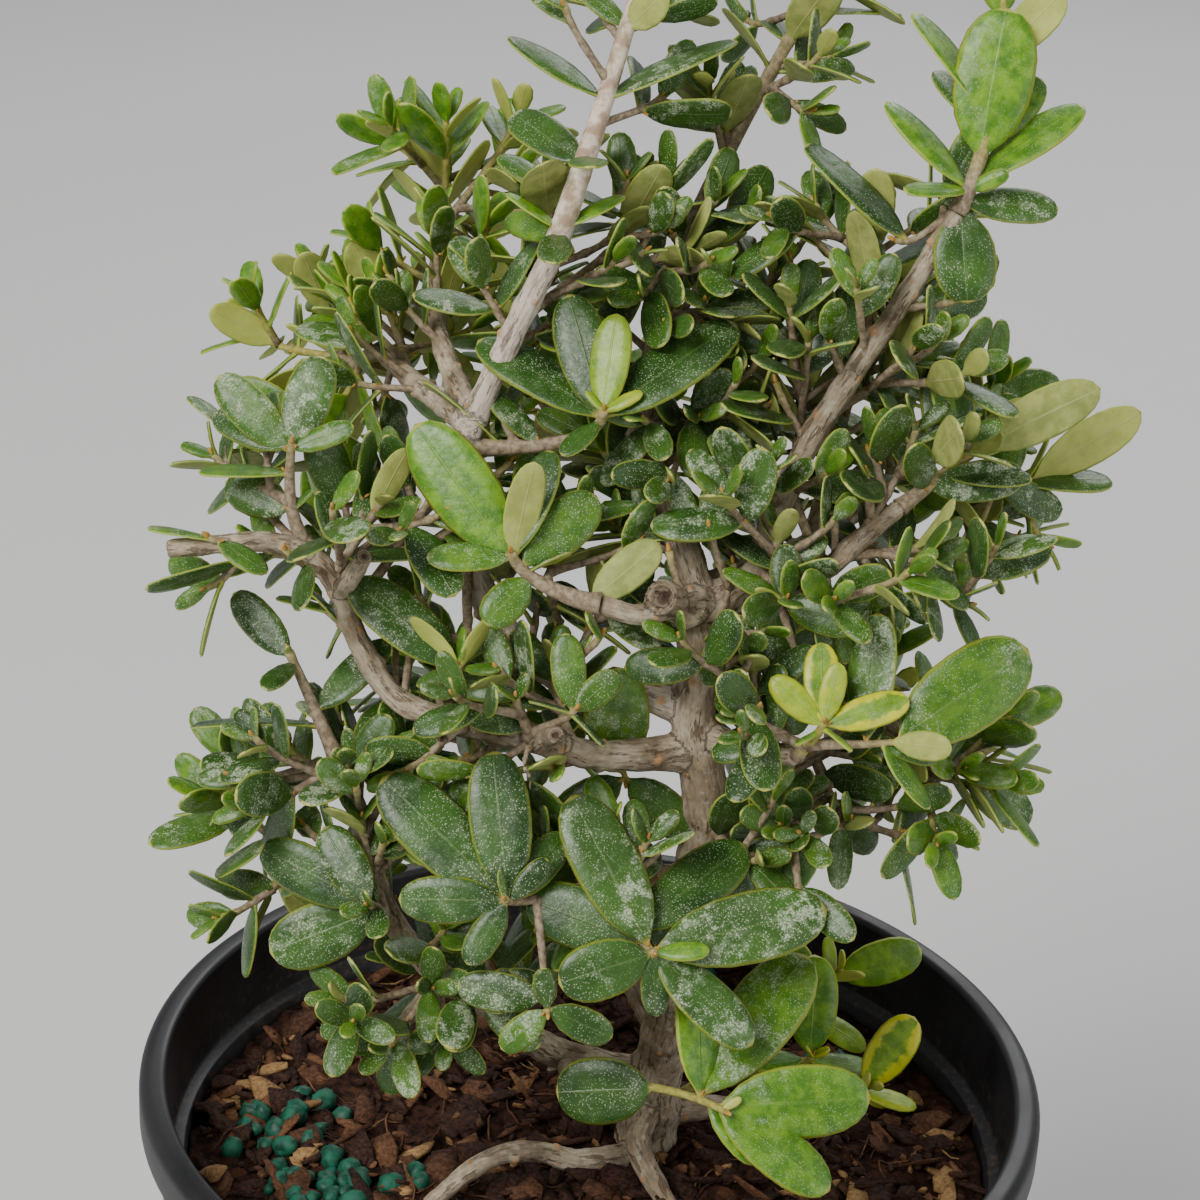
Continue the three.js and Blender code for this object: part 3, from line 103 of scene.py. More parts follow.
# Trunk, limbs, roots and pruned stubs: the middle line and the radius at each point of it
WOOD = {
    "trunk": (
        [
            (10, 4, 118), (11, 4, 142), (13, -4, 170), (16, -9, 200), (17, -11, 221), (14, -11, 236),
            (14, -9, 250), (12, -4, 262), (7, 5, 270), (3, 16, 277),
        ],
        [6.5, 6, 4.6, 4.2, 4.1, 4, 3.9, 3.2, 2.7, 2.4],
    ),
    "leader": (
        [
            (14, -10, 238), (4, -10, 241), (-9, -10, 243), (-20, -5, 250), (-26, 0, 262), (-27, 2, 275),
            (-26, 3, 283), (-20, 7, 298), (-14, 10, 311),
        ],
        [3.2, 3, 2.9, 2.8, 2.6, 2.5, 2.4, 2.3, 2.2],
    ),
    "crown": (
        [(3, 16, 277), (4, 24, 286), (6, 31, 299), (11, 34, 313)],
        [2.5, 2.3, 2.1, 1.9],
    ),
    "right": (
        [(14, -8, 256), (23, -2, 262), (29, 4, 278), (37, 8, 293), (45, 11, 306), (53, 14, 321)],
        [2.9, 2.5, 2.2, 2, 1.8, 1.6],
    ),
    "right_mid": (
        [(20, -4, 256), (34, -3, 262), (40, -1, 267), (47, 3, 272)],
        [2.1, 1.9, 1.8, 1.6],
    ),
    "right_low": (
        [(15, -11, 234), (25, -18, 235), (31, -23, 237)],
        [2.4, 2.1, 1.8],
    ),
    "front_mid": (
        [(14, -8, 257), (11, -13, 260), (4, -18, 259), (-3, -19, 261)],
        [2.6, 2.2, 1.8, 1.6],
    ),
    "front_low": (
        [(13, -12, 231), (-2, -19, 233), (-8, -22, 236), (-13, -24, 238)],
        [3, 2.7, 2.4, 2],
    ),
    "left": (
        [
            (-8, -22, 236), (-24, -20, 238), (-36, -16, 240), (-43, -12, 248), (-47, -10, 257),
            (-52, -9, 264),
        ],
        [2.3, 2.2, 2.1, 2, 1.9, 1.8],
    ),
    "left_end": (
        [(-51, -9, 263), (-58, -12, 266), (-66, -14, 266), (-75, -15, 265)],
        [1.7, 1.6, 1.6, 1.6],
    ),
    "left_stub": (
        [(-47, -10, 256), (-44, -14, 262), (-42, -18, 267)],
        [1.6, 1.5, 1.5],
    ),
    "left_low": (
        [
            (8, -1, 158), (-8, -6, 166), (-17, -10, 176), (-29, -21, 191), (-37, -23, 204),
            (-41, -21, 218), (-46, -18, 229),
        ],
        [3, 2.8, 2.6, 2.2, 2, 1.8, 1.7],
    ),
    "front_base": (
        [(16, -9, 205), (8, -20, 211), (-2, -31, 215)],
        [2.2, 1.9, 1.6],
    ),
    "rear_left": (
        [(-26, 2, 283), (-37, 24, 282), (-45, 40, 282)],
        [2.2, 1.9, 1.6],
    ),
    "rear_high": (
        [(-26, 3, 284), (-33, 26, 289), (-36, 48, 294)],
        [2.1, 1.8, 1.5],
    ),
    "rear": (
        [(10, 0, 264), (4, 26, 262), (-8, 42, 262)],
        [2.4, 2, 1.6],
    ),
    "rear_right": (
        [(13, -5, 258), (30, 18, 256), (45, 34, 260)],
        [2.6, 2.1, 1.7],
    ),
    "low_right": (
        [(17, -11, 221), (34, -2, 226), (48, 4, 231)],
        [2.3, 1.9, 1.6],
    ),
    "low_rear": (
        [(16, -8, 196), (24, 10, 204), (30, 28, 214)],
        [2.4, 2, 1.6],
    ),
    "low_rear_left": (
        [(12, 0, 168), (-4, 16, 186), (-20, 28, 200)],
        [2.4, 2, 1.7],
    ),
    "root_left": (
        [
            (10, 3, 138), (4, -6, 143), (-3, -10, 145), (-8, -11, 147), (-15, -15, 149),
            (-21, -18, 147), (-27, -22, 143), (-33, -26, 138),
        ],
        [3, 2.4, 2, 1.9, 1.9, 1.8, 1.6, 1.2],
    ),
    "root_front": (
        [(11, 3, 150), (10, -6, 151), (9, -10, 149), (12, -14, 145), (15, -18, 142), (19, -24, 138)],
        [3, 2.4, 2.2, 2, 1.8, 1.4],
    ),
    "root_right": (
        [(11, 4, 147), (22, 8, 146), (34, 10, 143), (44, 12, 137)],
        [3.2, 2.4, 2, 1.4],
    ),
    "root_back": (
        [(10, 4, 147), (4, 14, 146), (-4, 24, 142), (-10, 31, 136)],
        [3.2, 2.4, 1.9, 1.3],
    ),
    "knob": (
        [(12, -11, 257), (9, -14, 260), (7, -17, 262)],
        [2.9, 2.9, 3],
    ),
    "front_stub": (
        [(-12, -24, 237), (-10, -27, 240), (-9, -30, 242)],
        [1.6, 1.5, 1.6],
    ),
    "side_stub": (
        [(-24, -20, 238), (-26, -23, 239), (-28, -27, 239)],
        [1.4, 1.3, 1.4],
    ),
    "low_stub": (
        [(-27, -20, 189), (-31, -27, 186), (-35, -34, 184)],
        [1.6, 1.5, 1.5],
    ),
}

# Sprays: the limb, how far along it, and the shoots, of which the others branch from the first. Each listed
# leaf has its place along the shoot, its reach in X, Y and Z, the way that its upper side faces,
# its width as a share of its length, and its tone from old to young.
SPRAYS = {
    "leader_top": ("leader", 1, [
        dict(
            tip=(0, 31, 362), aim=(0.2, 0.2, 1), start=(0.3, 0.2, 1), radius=2.1, pairs=3, leaf=17,
            turn=20,
            leaves=[
                (0.48, -16, 5, 10, "front", 0.22, 0.1), (0.48, 21, 7, 11, "front", 0.2, 0.1),
                (0.3, 1, -14, 4, "up", 0.45, 0.2), (0.28, -13, 12, 6, "front", 0.38, 0),
                (0.08, -9, 2, 6, "front", 0.2, 0.55), (0.08, 10, 4, 6, "front", 0.2, 0.5),
                (0.07, -1, -13, 0, "up", 0.45, 0.1), (0.06, -10, 7, 1, "front", 0.41, 0.35),
                (0.7, -8, 5, 6, "front", 0.36, 0.2), (0.7, 7, -5, 8, "back", 0.54, 0.3),
            ],
        ),
    ]),
    "leader_left": ("leader", 0.77, [
        dict(tip=(-16, 23, 322), aim=(-0.3, 0.3, 1), radius=1, pairs=4, leaf=17, turn=90, twigs=1),
    ]),
    "leader_right": ("leader", 0.89, [
        dict(tip=(2, 28, 316), aim=(0.5, 0.2, 1), radius=1, pairs=4, leaf=16, twigs=1),
    ]),
    "front_high": ("leader", 0.69, [
        dict(
            tip=(-4, -3, 289), aim=(0, -0.4, 1), start=(1, -0.2, 0.1), radius=1.6,
            leaves=[
                (0.93, -7, 11, 18, "front", 0.41, 0), (0.94, 1, 7, 16, "front", 0.38, 0.8),
                (0.91, 21, 11, 16, "front", 0.34, 0), (0.92, -21, 10, 11, "front", 0.32, 0),
                (0.88, -6, -7, -3, "up", 0.45, 0), (0.43, -9, 4, 8, "front", 0.34, 0),
                (0.22, -13, 7, 10, "up", 0.27, 0), (0.98, 6, 1, 4, "front", 0.32, 0.9),
                (0.99, -3, 2, 3, "front", 0.32, 0.8),
            ],
        ),
        dict(at=0.3, tip=(-22, 4, 286), aim=(-0.6, -0.4, 1), radius=0.9, pairs=3, leaf=13),
    ]),
    "front_mid": ("front_mid", 1, [
        dict(
            tip=(-18, -18, 269), aim=(-0.2, -0.4, 1), start=(-1, 0, 0.1), radius=1.7,
            leaves=[
                (0.86, -18, 9, 20, "front", 0.42, 0.55), (0.92, 2, 4, 16, "back", 0.36, 0.3),
                (0.9, 4, 11, 16, "front", 0.32, 0), (0.78, 12, 7, 11, "front", 0.5, 0.25),
                (0.92, -14, -2, 1, "front", 0.36, 0.35), (0.64, -7, -6, -6, "front", 0.62, 0.25),
                (0.7, 7, 2, 4, "up", 0.27, 0), (0.1, 11, 7, 8, "back", 0.44, 0),
            ],
        ),
        dict(at=0.5, tip=(-10, -4, 266), aim=(0.2, 0.2, 1), radius=0.9, pairs=3, leaf=15),
    ]),
    "mid_left": ("leader", 0.5, [
        dict(
            tip=(-26, -20, 249), aim=(-0.4, -0.6, 1), radius=1.1,
            leaves=[
                (0.91, -19, 6, 13, "front", 0.38, 0), (0.96, -8, 3, 8, "back", 0.27, 0.5),
                (0.98, 0, 3, 6, "front", 0.27, 0.4), (0.96, 4, 4, 8, "back", 0.27, 0.5),
                (0.95, -7, -3, -2, "front", 0.36, 0), (0.88, 6, -3, 2, "front", 0.32, 0.3),
            ],
        ),
        dict(at=0.55, tip=(-36, -13, 250), aim=(-0.7, 0, 1), radius=0.9, pairs=3, leaf=13),
    ]),
    "low_left_front": ("front_low", 1, [
        dict(tip=(-16, -25, 246), aim=(-0.1, -0.3, 1), radius=1.1, pairs=3, leaf=11, turn=30, twigs=1),
        dict(
            at=0.1, tip=(-6, -28, 246), aim=(0.4, -0.5, 1), radius=1,
            leaves=[
                (0.89, -2, 5, 12, "front", 0.45, 0.25), (0.92, 7, 3, 6, "front", 0.54, 0.2),
                (0.85, 6, -4, -3, "up", 0.32, 0), (0.85, -7, 1, 2, "up", 0.32, 0),
            ],
        ),
    ]),
    "low_front_mid": ("front_low", 0.55, [
        dict(tip=(-10, -16, 248), aim=(0.1, -0.1, 1), radius=1, pairs=4, leaf=15, turn=60, twigs=2),
    ]),
    "low_front_back": ("front_low", 0.3, [
        dict(
            tip=(3, -12, 225), aim=(0.1, -0.3, -1), start=(0, -0.6, -1), radius=1, pairs=0, leaf=12,
            tone=0.3,
            leaves=[
                (0.7, -2, -4, 20, "front", 0.55, 0.3), (0.95, 12, -3, -9, "front", 0.5, 0.1),
                (0.95, -12, -3, -8, "front", 0.5, 0),
            ],
        ),
    ]),
    "right_low": ("right_low", 1, [
        dict(
            tip=(35, -26, 245), aim=(-0.1, -0.8, 1), radius=1.2, tone=0.7,
            leaves=[
                (0.87, -1, 7, 12, "front", 0.45, 1), (0.89, 2, 3, 10, "front", 0.41, 0.9),
                (0.85, -9, 3, 7, "front", 0.45, 0.9), (0.86, 14, 2, 5, "front", 0.38, 1),
                (0.8, 5, -5, -1, "up", 0.32, 0.8), (0.65, -4, -4, 0, "up", 0.36, 0.7),
            ],
        ),
        dict(
            at=0.3, tip=(49, -25, 242), aim=(1, -0.4, 0.5), radius=1, tone=0.15,
            leaves=[
                (0.86, 22, 7, 15, "front", 0.5, 0.3), (0.83, 10, -5, 2, "back", 0.45, 0.3),
                (0.73, 10, 0, -2, "front", 0.36, 0.1), (0.73, 9, -6, -8, "front", 0.27, 0.3),
                (0.58, 0, 9, 20, "front", 0.34, 0.15),
            ],
        ),
        dict(at=0.25, tip=(22, -24, 245), aim=(-0.6, -1, 1), radius=0.9, pairs=3, leaf=12, turn=60),
    ]),
    "right_low_up": ("right_low", 0.55, [
        dict(tip=(23, -17, 252), aim=(0, -0.3, 1), radius=1, pairs=4, leaf=14, turn=20, twigs=1),
    ]),
    "mid_right_front": ("right", 0.21, [
        dict(
            tip=(28, -15, 262), aim=(0.1, -0.6, 1), radius=1.1, pairs=4, leaf=17, turn=90, twigs=1,
            leaves=[
                (0.83, 0, 4, 9, "front", 0.54, 0), (0.78, -10, 2, 5, "front", 0.32, 0.25),
                (0.83, -5, -1, 3, "back", 0.32, 0.4),
            ],
        ),
        dict(at=0.5, tip=(26, -6, 271), aim=(0, -0.2, 1), radius=0.9, pairs=3, leaf=11),
    ]),
    "mid_right_high": ("right", 0.065, [
        dict(tip=(16, -16, 254), aim=(-0.5, -1, 1), radius=0.9, pairs=3, leaf=10),
        dict(at=0.4, tip=(19, -6, 264), aim=(-0.2, -0.2, 1), radius=0.9, pairs=3, leaf=13),
    ]),
    "right_cup": ("right", 0.36, [
        dict(tip=(39, -8, 259), aim=(0.3, -0.4, 1), radius=1, pairs=4, leaf=13, tone=0.2, twigs=1),
    ]),
    "right_top": ("right", 1, [
        dict(
            tip=(59, 30, 358), aim=(0.05, 0.3, 1), start=(0.5, 0.3, 1), radius=1.4, pairs=2, leaf=14,
            turn=95, tone=0.5,
            leaves=[
                (0.22, 3, 6, 25, "front", 0.52, 0.6), (0.12, 17, 5, 15, "front", 0.26, 0.45),
                (0.1, -13, 7, 14, "front", 0.25, 0.5), (0.42, -12, 9, 16, "front", 0.24, 0.5),
                (0.36, -8, 11, 8, "front", 0.36, 0), (0.66, 10, 5, 10, "back", 0.48, 0.4),
                (0.3, 10, 8, 10, "front", 0.4, 0.5), (0.8, -2, 5, 17, "front", 0.45, 0.75),
                (0.1, -11, -6, 2, "up", 0.42, 0.45), (0.1, 6, -2, 4, "front", 0.42, 0.6),
                (0.03, 2, -8, -14, "front", 0.66, 0.12), (0.04, 17, 3, 0, "front", 0.38, 0),
            ],
        ),
        dict(
            at=0.02, tip=(43, 13, 316), aim=(-1, -0.2, 0.5), radius=0.8,
            leaves=[
                (0.8, -17, 7, 15, "front", 0.27, 0),
            ],
        ),
    ]),
    "right_high_left": ("right", 0.66, [
        dict(
            tip=(40, 24, 314), aim=(-0.2, 0.1, 1), radius=1, pairs=4, leaf=18, turn=30, tone=0.1,
            twigs=2,
        ),
    ]),
    "right_inner": ("right", 0.5, [
        dict(tip=(48, 16, 296), aim=(0.6, 0.2, 1), radius=1, pairs=4, leaf=16, twigs=1),
    ]),
    "right_inner_low": ("right", 0.4, [
        dict(tip=(29, 15, 290), aim=(-0.3, 0.1, 1), radius=1, pairs=4, leaf=16, turn=50, twigs=2),
    ]),
    "right_mid": ("right_mid", 1, [
        dict(
            tip=(61, 10, 282), aim=(1, 0.2, 1), radius=1.4, pairs=3, leaf=12, turn=100, tone=0.25,
            leaves=[
                (0.9, 20, 5, 11, "back", 0.38, 0.15), (0.85, 9, 5, 8, "back", 0.4, 0.45),
                (0.72, -4, 6, 14, "front", 0.3, 0.35), (0.62, -2, 10, 17, "front", 0.48, 0),
                (0.5, 15, -2, 2, "up", 0.42, 0), (0.3, 17, 1, 3, "front", 0.42, 0),
                (0.3, -3, -9, 10, "front", 0.42, 0.1),
            ],
        ),
        dict(
            at=0.6, tip=(73, 22, 272), aim=(1, 0.4, 0.6), radius=1, pairs=3, leaf=13, turn=40, tone=0.3,
            leaves=[
                (0.9, 18, 7, 12, "back", 0.34, 0.4), (0.8, 17, 4, 1, "up", 0.42, 0.15),
                (0.7, -1, 9, 14, "front", 0.42, 0.3), (0.55, 13, 3, -7, "front", 0.4, 0),
            ],
        ),
    ]),
    "right_mid_up": ("right_mid", 0.7, [
        dict(tip=(49, 7, 285), aim=(0.1, -0.1, 1), radius=1, pairs=4, leaf=17, turn=20, twigs=1),
    ]),
    "right_mid_low": ("right_mid", 0.5, [
        dict(tip=(53, 1, 266), aim=(1, -0.3, 0.4), radius=1, pairs=4, leaf=16, turn=60, twigs=1),
    ]),
    "crown_top": ("crown", 1, [
        dict(
            tip=(31, 52, 356), aim=(0.3, 0.3, 1), start=(0.3, 0.1, 1), radius=1.6, pairs=6, leaf=17,
            turn=30, tone=0.15, twigs=2,
        ),
        dict(at=0.25, tip=(13, 38, 330), aim=(-0.2, 0.2, 1), radius=0.9, pairs=4, leaf=17),
    ]),
    "crown_left": ("crown", 0.85, [
        dict(tip=(6, 23, 312), aim=(-0.6, -0.2, 1), radius=1.1, pairs=4, leaf=16, turn=40, twigs=1),
    ]),
    "crown_front": ("crown", 0.55, [
        dict(tip=(12, 15, 303), aim=(0, -0.9, 1), radius=1.1, pairs=4, leaf=17, turn=10, twigs=1),
    ]),
    "crown_right": ("crown", 0.45, [
        dict(tip=(24, 17, 298), aim=(0.6, -0.4, 1), radius=1.1, pairs=4, leaf=17, turn=80, twigs=2),
    ]),
    "crown_low": ("crown", 0.2, [
        dict(tip=(12, 7, 285), aim=(0.1, -1, 0.7), radius=1.1, pairs=4, leaf=15, twigs=2),
    ]),
    "rear_left": ("rear_left", 1, [
        dict(
            tip=(-55, 55, 276), aim=(-0.6, 0.2, 1), radius=1.3, pairs=4, leaf=20, turn=60, tone=0.45,
            twigs=2,
        ),
        dict(at=0.5, tip=(-72, 61, 278), aim=(-1, 0.2, 0.8), radius=0.9, pairs=4, leaf=15, tone=0.5),
    ]),
    "rear_left_up": ("rear_left", 0.6, [
        dict(
            tip=(-45, 53, 290), aim=(-0.3, 0.2, 1), radius=1.1, pairs=4, leaf=17, turn=20, tone=0.3,
            twigs=1,
        ),
    ]),
    "rear_high": ("rear_high", 1, [
        dict(
            tip=(-36, 77, 309), aim=(-0.1, 0.3, 1), radius=1.2, pairs=5, leaf=16, turn=30, tone=0.5,
            twigs=2,
        ),
        dict(
            at=0.4, tip=(-23, 78, 317), aim=(0.3, 0.2, 1), radius=0.9, pairs=4, leaf=15, turn=60,
            tone=0.3,
        ),
    ]),
    "rear_high_low": ("rear_high", 0.5, [
        dict(tip=(-35, 47, 297), aim=(-0.2, 0.1, 1), radius=1.1, pairs=4, leaf=16, tone=0.4, twigs=1),
    ]),
    "left_tip": ("left", 1, [
        dict(
            tip=(-55, -10, 283), aim=(0.1, -0.3, 1), start=(-0.5, -0.1, 0.6), radius=1.3,
            leaves=[
                (0.9, -13, 5, 11, "front", 0.41, 0.2), (0.93, 4, 8, 14, "front", 0.5, 0.1),
                (0.93, 10, 0, 5, "right", 0.27, 0.3), (0.7, -15, -1, 1, "up", 0.38, 0.35),
                (0.93, -14, 7, 4, "front", 0.36, 0), (0.38, 3, 0, 4, "up", 0.41, 0.2),
                (0.38, -12, 4, 3, "front", 0.58, 0.1),
            ],
        ),
        dict(at=0.45, tip=(-69, -2, 277), aim=(-0.8, 0.1, 1), radius=0.9, pairs=3, leaf=13, turn=40),
    ]),
    "left_end": ("left_end", 0.55, [
        dict(
            tip=(-68, -16, 268), aim=(-0.8, -0.5, 1), radius=1,
            leaves=[
                (0.79, -11, 1, 2, "up", 0.36, 0.3), (0.7, 9, -4, -3, "up", 0.5, 0.2),
            ],
        ),
    ]),
    "left_mid": ("left", 0.85, [
        dict(
            tip=(-40, -9, 273), aim=(0.5, -0.6, 1), radius=1, pairs=4, leaf=13, turn=60, twigs=1,
            leaves=[
                (0.75, 5, 5, 11, "back", 0.36, 0.3),
            ],
        ),
    ]),
    "left_up": ("left", 0.7, [
        dict(tip=(-31, -2, 275), aim=(0.3, -0.2, 1), radius=1.1, pairs=4, leaf=14, twigs=2),
    ]),
    "left_low_tip": ("left_low", 1, [
        dict(
            tip=(-55, -12, 246), aim=(-0.4, -0.1, 1), radius=1.4, pairs=1, leaf=6, turn=120,
            leaves=[
                (0.93, -11, 6, 9, "front", 0.41, 0), (0.88, -4, -9, 0, "up", 0.45, 0),
                (0.43, 11, 8, 11, "front", 0.36, 0), (0.3, -23, 4, -1, "up", 0.32, 0),
            ],
        ),
    ]),
    "left_low_mid": ("left_low", 0.85, [
        dict(tip=(-44, -20, 228), aim=(0.2, -1, 1), radius=0.9, pairs=3, leaf=13, twigs=1),
        dict(at=0.3, tip=(-54, -15, 228), aim=(-1, 0, 0.4), radius=0.9, pairs=3, leaf=14, turn=30),
    ]),
    "left_low_front": ("left_low", 0.62, [
        dict(
            tip=(-39, -33, 210), aim=(-0.6, -1, 0.7), radius=1.1, pairs=2, leaf=12, turn=40,
            leaves=[
                (0.68, -18, -5, -7, "front", 0.54, 0), (0.9, -20, 5, 7, "front", 0.41, 0),
                (0.93, -9, 6, 11, "front", 0.5, 0),
            ],
        ),
        dict(at=0.5, tip=(-41, -25, 222), aim=(0, -0.3, 1), radius=0.9, pairs=3, leaf=14),
    ]),
    "left_low_in": ("left_low", 0.45, [
        dict(tip=(-28, -34, 195), aim=(0.4, -1, 0.6), radius=0.9, pairs=3, leaf=14, twigs=1),
    ]),
    "left_low_rear": ("left_low", 0.7, [
        dict(
            tip=(-68, 7, 207), aim=(-1, 0.3, 0.9), radius=1.1, pairs=4, leaf=15, turn=20, tone=0.2,
            twigs=1,
        ),
    ]),
    "front_base": ("front_base", 1, [
        dict(
            tip=(9, -44, 210), aim=(0.1, -1, 0.6), start=(0.5, -0.8, 0), radius=1.3,
            leaves=[
                (0.85, -14, 12, 22, "front", 0.38, 0), (0.86, 29, 5, 7, "front", 0.39, 0),
                (0.73, -20, 4, 5, "front", 0.5, 0), (0.88, 18, -8, -11, "front", 0.34, 0),
                (0.95, 9, -1, 2, "front", 0.32, 0.6), (0.6, 18, 15, 11, "front", 0.36, 0),
                (0.93, -15, -5, -4, "front", 0.6, 0), (0.95, 1, -4, -10, "front", 0.45, 0),
            ],
        ),
        dict(at=0.3, tip=(7, -31, 224), aim=(0.2, -0.1, 1), radius=0.9, pairs=3, leaf=15),
    ]),
    "front_base_left": ("front_base", 0.8, [
        dict(
            tip=(-16, -41, 217), aim=(-0.2, -1, 0.9), radius=1.2,
            leaves=[
                (0.9, -4, 11, 22, "front", 0.42, 0), (0.9, -22, 10, 17, "front", 0.38, 0),
                (0.9, 9, 10, 8, "front", 0.41, 0), (0.9, 6, 2, 7, "right", 0.27, 0),
                (0.94, -18, 0, -1, "front", 0.45, 0), (0.93, -6, -6, -9, "front", 0.45, 0),
                (0.95, -1, 1, 5, "front", 0.32, 0.2),
            ],
        ),
        dict(
            at=0.6, tip=(-8, -48, 200), aim=(0.1, -1, -0.2), radius=0.8,
            leaves=[
                (0.96, -1, 1, 7, "front", 0.59, 0.1), (0.96, -7, -5, -5, "front", 0.54, 0.25),
                (0.94, 11, -2, -4, "front", 0.5, 0), (0.85, -15, 1, 1, "front", 0.45, 0),
            ],
        ),
    ]),
    "front_base_mid": ("front_base", 0.5, [
        dict(tip=(1, -23, 221), aim=(-0.1, -0.3, 1), radius=1.1, pairs=3, leaf=17, tone=0.2, twigs=1),
    ]),
    "front_lowest": ("left_low", 0.12, [
        dict(
            tip=(22, -53, 186), aim=(0.9, -1, 0.1), start=(-0.3, -1, 0.2), radius=1.2, tone=0.35,
            leaves=[
                (0.96, 26, 1, 2, "front", 0.48, 0.4), (0.96, 20, -7, -10, "front", 0.34, 0.4),
                (0.73, -17, 1, -3, "front", 0.68, 0.1), (0.9, -1, 13, 19, "front", 0.34, 0.55),
                (0.99, 3, 1, 2, "back", 0.45, 0.5), (0.93, 9, -6, -7, "front", 0.36, 0.45),
                (0.9, 17, 21, 18, "front", 0.36, 0.3),
            ],
        ),
    ]),
    "base_right": ("trunk", 0.13, [
        dict(
            tip=(46, 18, 172), aim=(0.5, 0.1, 1), radius=1.1, pairs=2, leaf=11, tone=0.8,
            leaves=[
                (0.95, 16, 1, 6, "front", 0.5, 0.75), (0.85, -12, 5, 12, "front", 0.45, 0.7),
                (0.75, 12, -6, -3, "up", 0.42, 0.8),
            ],
        ),
        dict(
            at=0.45, tip=(41, 6, 160), aim=(0.2, -0.4, 1), radius=0.9, pairs=2, leaf=9, tone=0.7,
            leaves=[
                (0.9, 0, 7, 18, "front", 0.5, 0.7), (0.85, 15, 3, -3, "up", 0.42, 0.6),
                (0.8, -13, -3, 2, "up", 0.42, 0.6),
            ],
        ),
        dict(
            at=0.35, tip=(52, 3, 156), aim=(1, -0.3, 1), radius=0.9, pairs=2, leaf=9, turn=50, tone=0.8,
            leaves=[
                (0.93, 9, 5, 13, "front", 0.5, 1), (0.9, 11, -2, -1, "up", 0.45, 0.9),
                (0.8, -2, -11, 4, "up", 0.42, 0.8),
            ],
        ),
    ]),
    "low_right": ("low_right", 1, [
        dict(
            tip=(66, 1, 224), aim=(1, 0.1, 0.6), radius=1.1, pairs=5, leaf=17, turn=30, tone=0.3,
            twigs=2,
        ),
    ]),
    "low_right_in": ("low_right", 0.55, [
        dict(tip=(42, -13, 220), aim=(0.2, -0.4, 1), radius=1, pairs=4, leaf=15, twigs=2),
    ]),
    "low_right_front": ("trunk", 0.42, [
        dict(tip=(26, -25, 218), aim=(0.7, -0.9, 1), radius=1, pairs=4, leaf=15, turn=30, twigs=1),
    ]),
    "rear": ("rear", 1, [
        dict(tip=(-20, 58, 276), aim=(-0.4, 0.7, 1), radius=1.2, pairs=4, leaf=17, tone=0.3, twigs=2),
        dict(at=0.3, tip=(4, 60, 272), aim=(0.6, 1, 0.9), radius=0.9, pairs=4, leaf=15, tone=0.2),
    ]),
    "rear_right": ("rear_right", 1, [
        dict(tip=(60, 46, 276), aim=(0.6, 0.5, 1), radius=1.3, pairs=4, leaf=17, tone=0.3, twigs=2),
        dict(at=0.3, tip=(38, 56, 268), aim=(-0.1, 1, 0.8), radius=0.9, pairs=3, leaf=15, tone=0.2),
        dict(
            at=0.4, tip=(66, 26, 262), aim=(1, 0, 0.4), radius=0.9, pairs=3, leaf=15, turn=60, tone=0.1,
        ),
    ]),
    "rear_right_high": ("rear_right", 0.6, [
        dict(tip=(44, 40, 300), aim=(0.2, 0.3, 1), radius=1.2, pairs=4, leaf=16, tone=0.2, twigs=1),
    ]),
    "low_rear": ("low_rear", 1, [
        dict(tip=(34, 46, 232), aim=(0.2, 0.8, 1), radius=1.2, pairs=4, leaf=17, tone=0.3, twigs=2),
        dict(at=0.3, tip=(52, 32, 224), aim=(1, 0.2, 0.8), radius=0.9, pairs=3, leaf=14, tone=0.2),
    ]),
    "low_rear_left": ("low_rear_left", 1, [
        dict(tip=(-32, 38, 218), aim=(-0.4, 0.4, 1), radius=1.2, pairs=4, leaf=16, tone=0.3, twigs=2),
        dict(at=0.3, tip=(-14, 46, 210), aim=(0.4, 1, 0.7), radius=0.9, pairs=3, leaf=14, tone=0.2),
    ]),
}

# Numbers, vectors and curves


def draws(seed):
    """The same stream of numbers from 0 to 1 that the solids' rule draws from."""
    state = seed & 0xFFFFFFFF

    def draw():
        nonlocal state
        state = (state + 0x6D2B79F5) & 0xFFFFFFFF
        t = ((state ^ (state >> 15)) * (1 | state)) & 0xFFFFFFFF
        t = (t + (((t ^ (t >> 7)) * (61 | t)) & 0xFFFFFFFF) & 0xFFFFFFFF) ^ t
        return ((t ^ (t >> 14)) & 0xFFFFFFFF) / 4294967296

    return draw


def unit(v):
    v = np.asarray(v, float)
    return v / math.sqrt(float(v @ v))


def square_to(direction, v):
    return unit(v - (v @ direction) * direction)


def turned_about(v, axis, angle):
    cos, sin = math.cos(angle), math.sin(angle)
    return v * cos + np.cross(axis, v) * sin + axis * (axis @ v) * (1 - cos)


def along(values, t):
    return float(np.interp(t * (len(values) - 1), range(len(values)), values))


class Spline:
    """A smooth curve through points, which runs from 0 to 1."""

    def __init__(self, points):
        self.points = np.asarray(points, float)

    def point(self, t):
        p = self.points
        n = len(p)
        place = (n - 1) * t
        i = min(int(place), n - 2)
        w = place - i
        before = p[i - 1] if i > 0 else 2 * p[0] - p[1]
        after = p[i + 2] if i + 2 < n else 2 * p[-1] - p[-2]
        start, end = (p[i + 1] - before) / 2, (after - p[i]) / 2
        square = -3 * p[i] + 3 * p[i + 1] - 2 * start - end
        cube = 2 * p[i] - 2 * p[i + 1] + start + end
        return p[i] + start * w + square * w**2 + cube * w**3


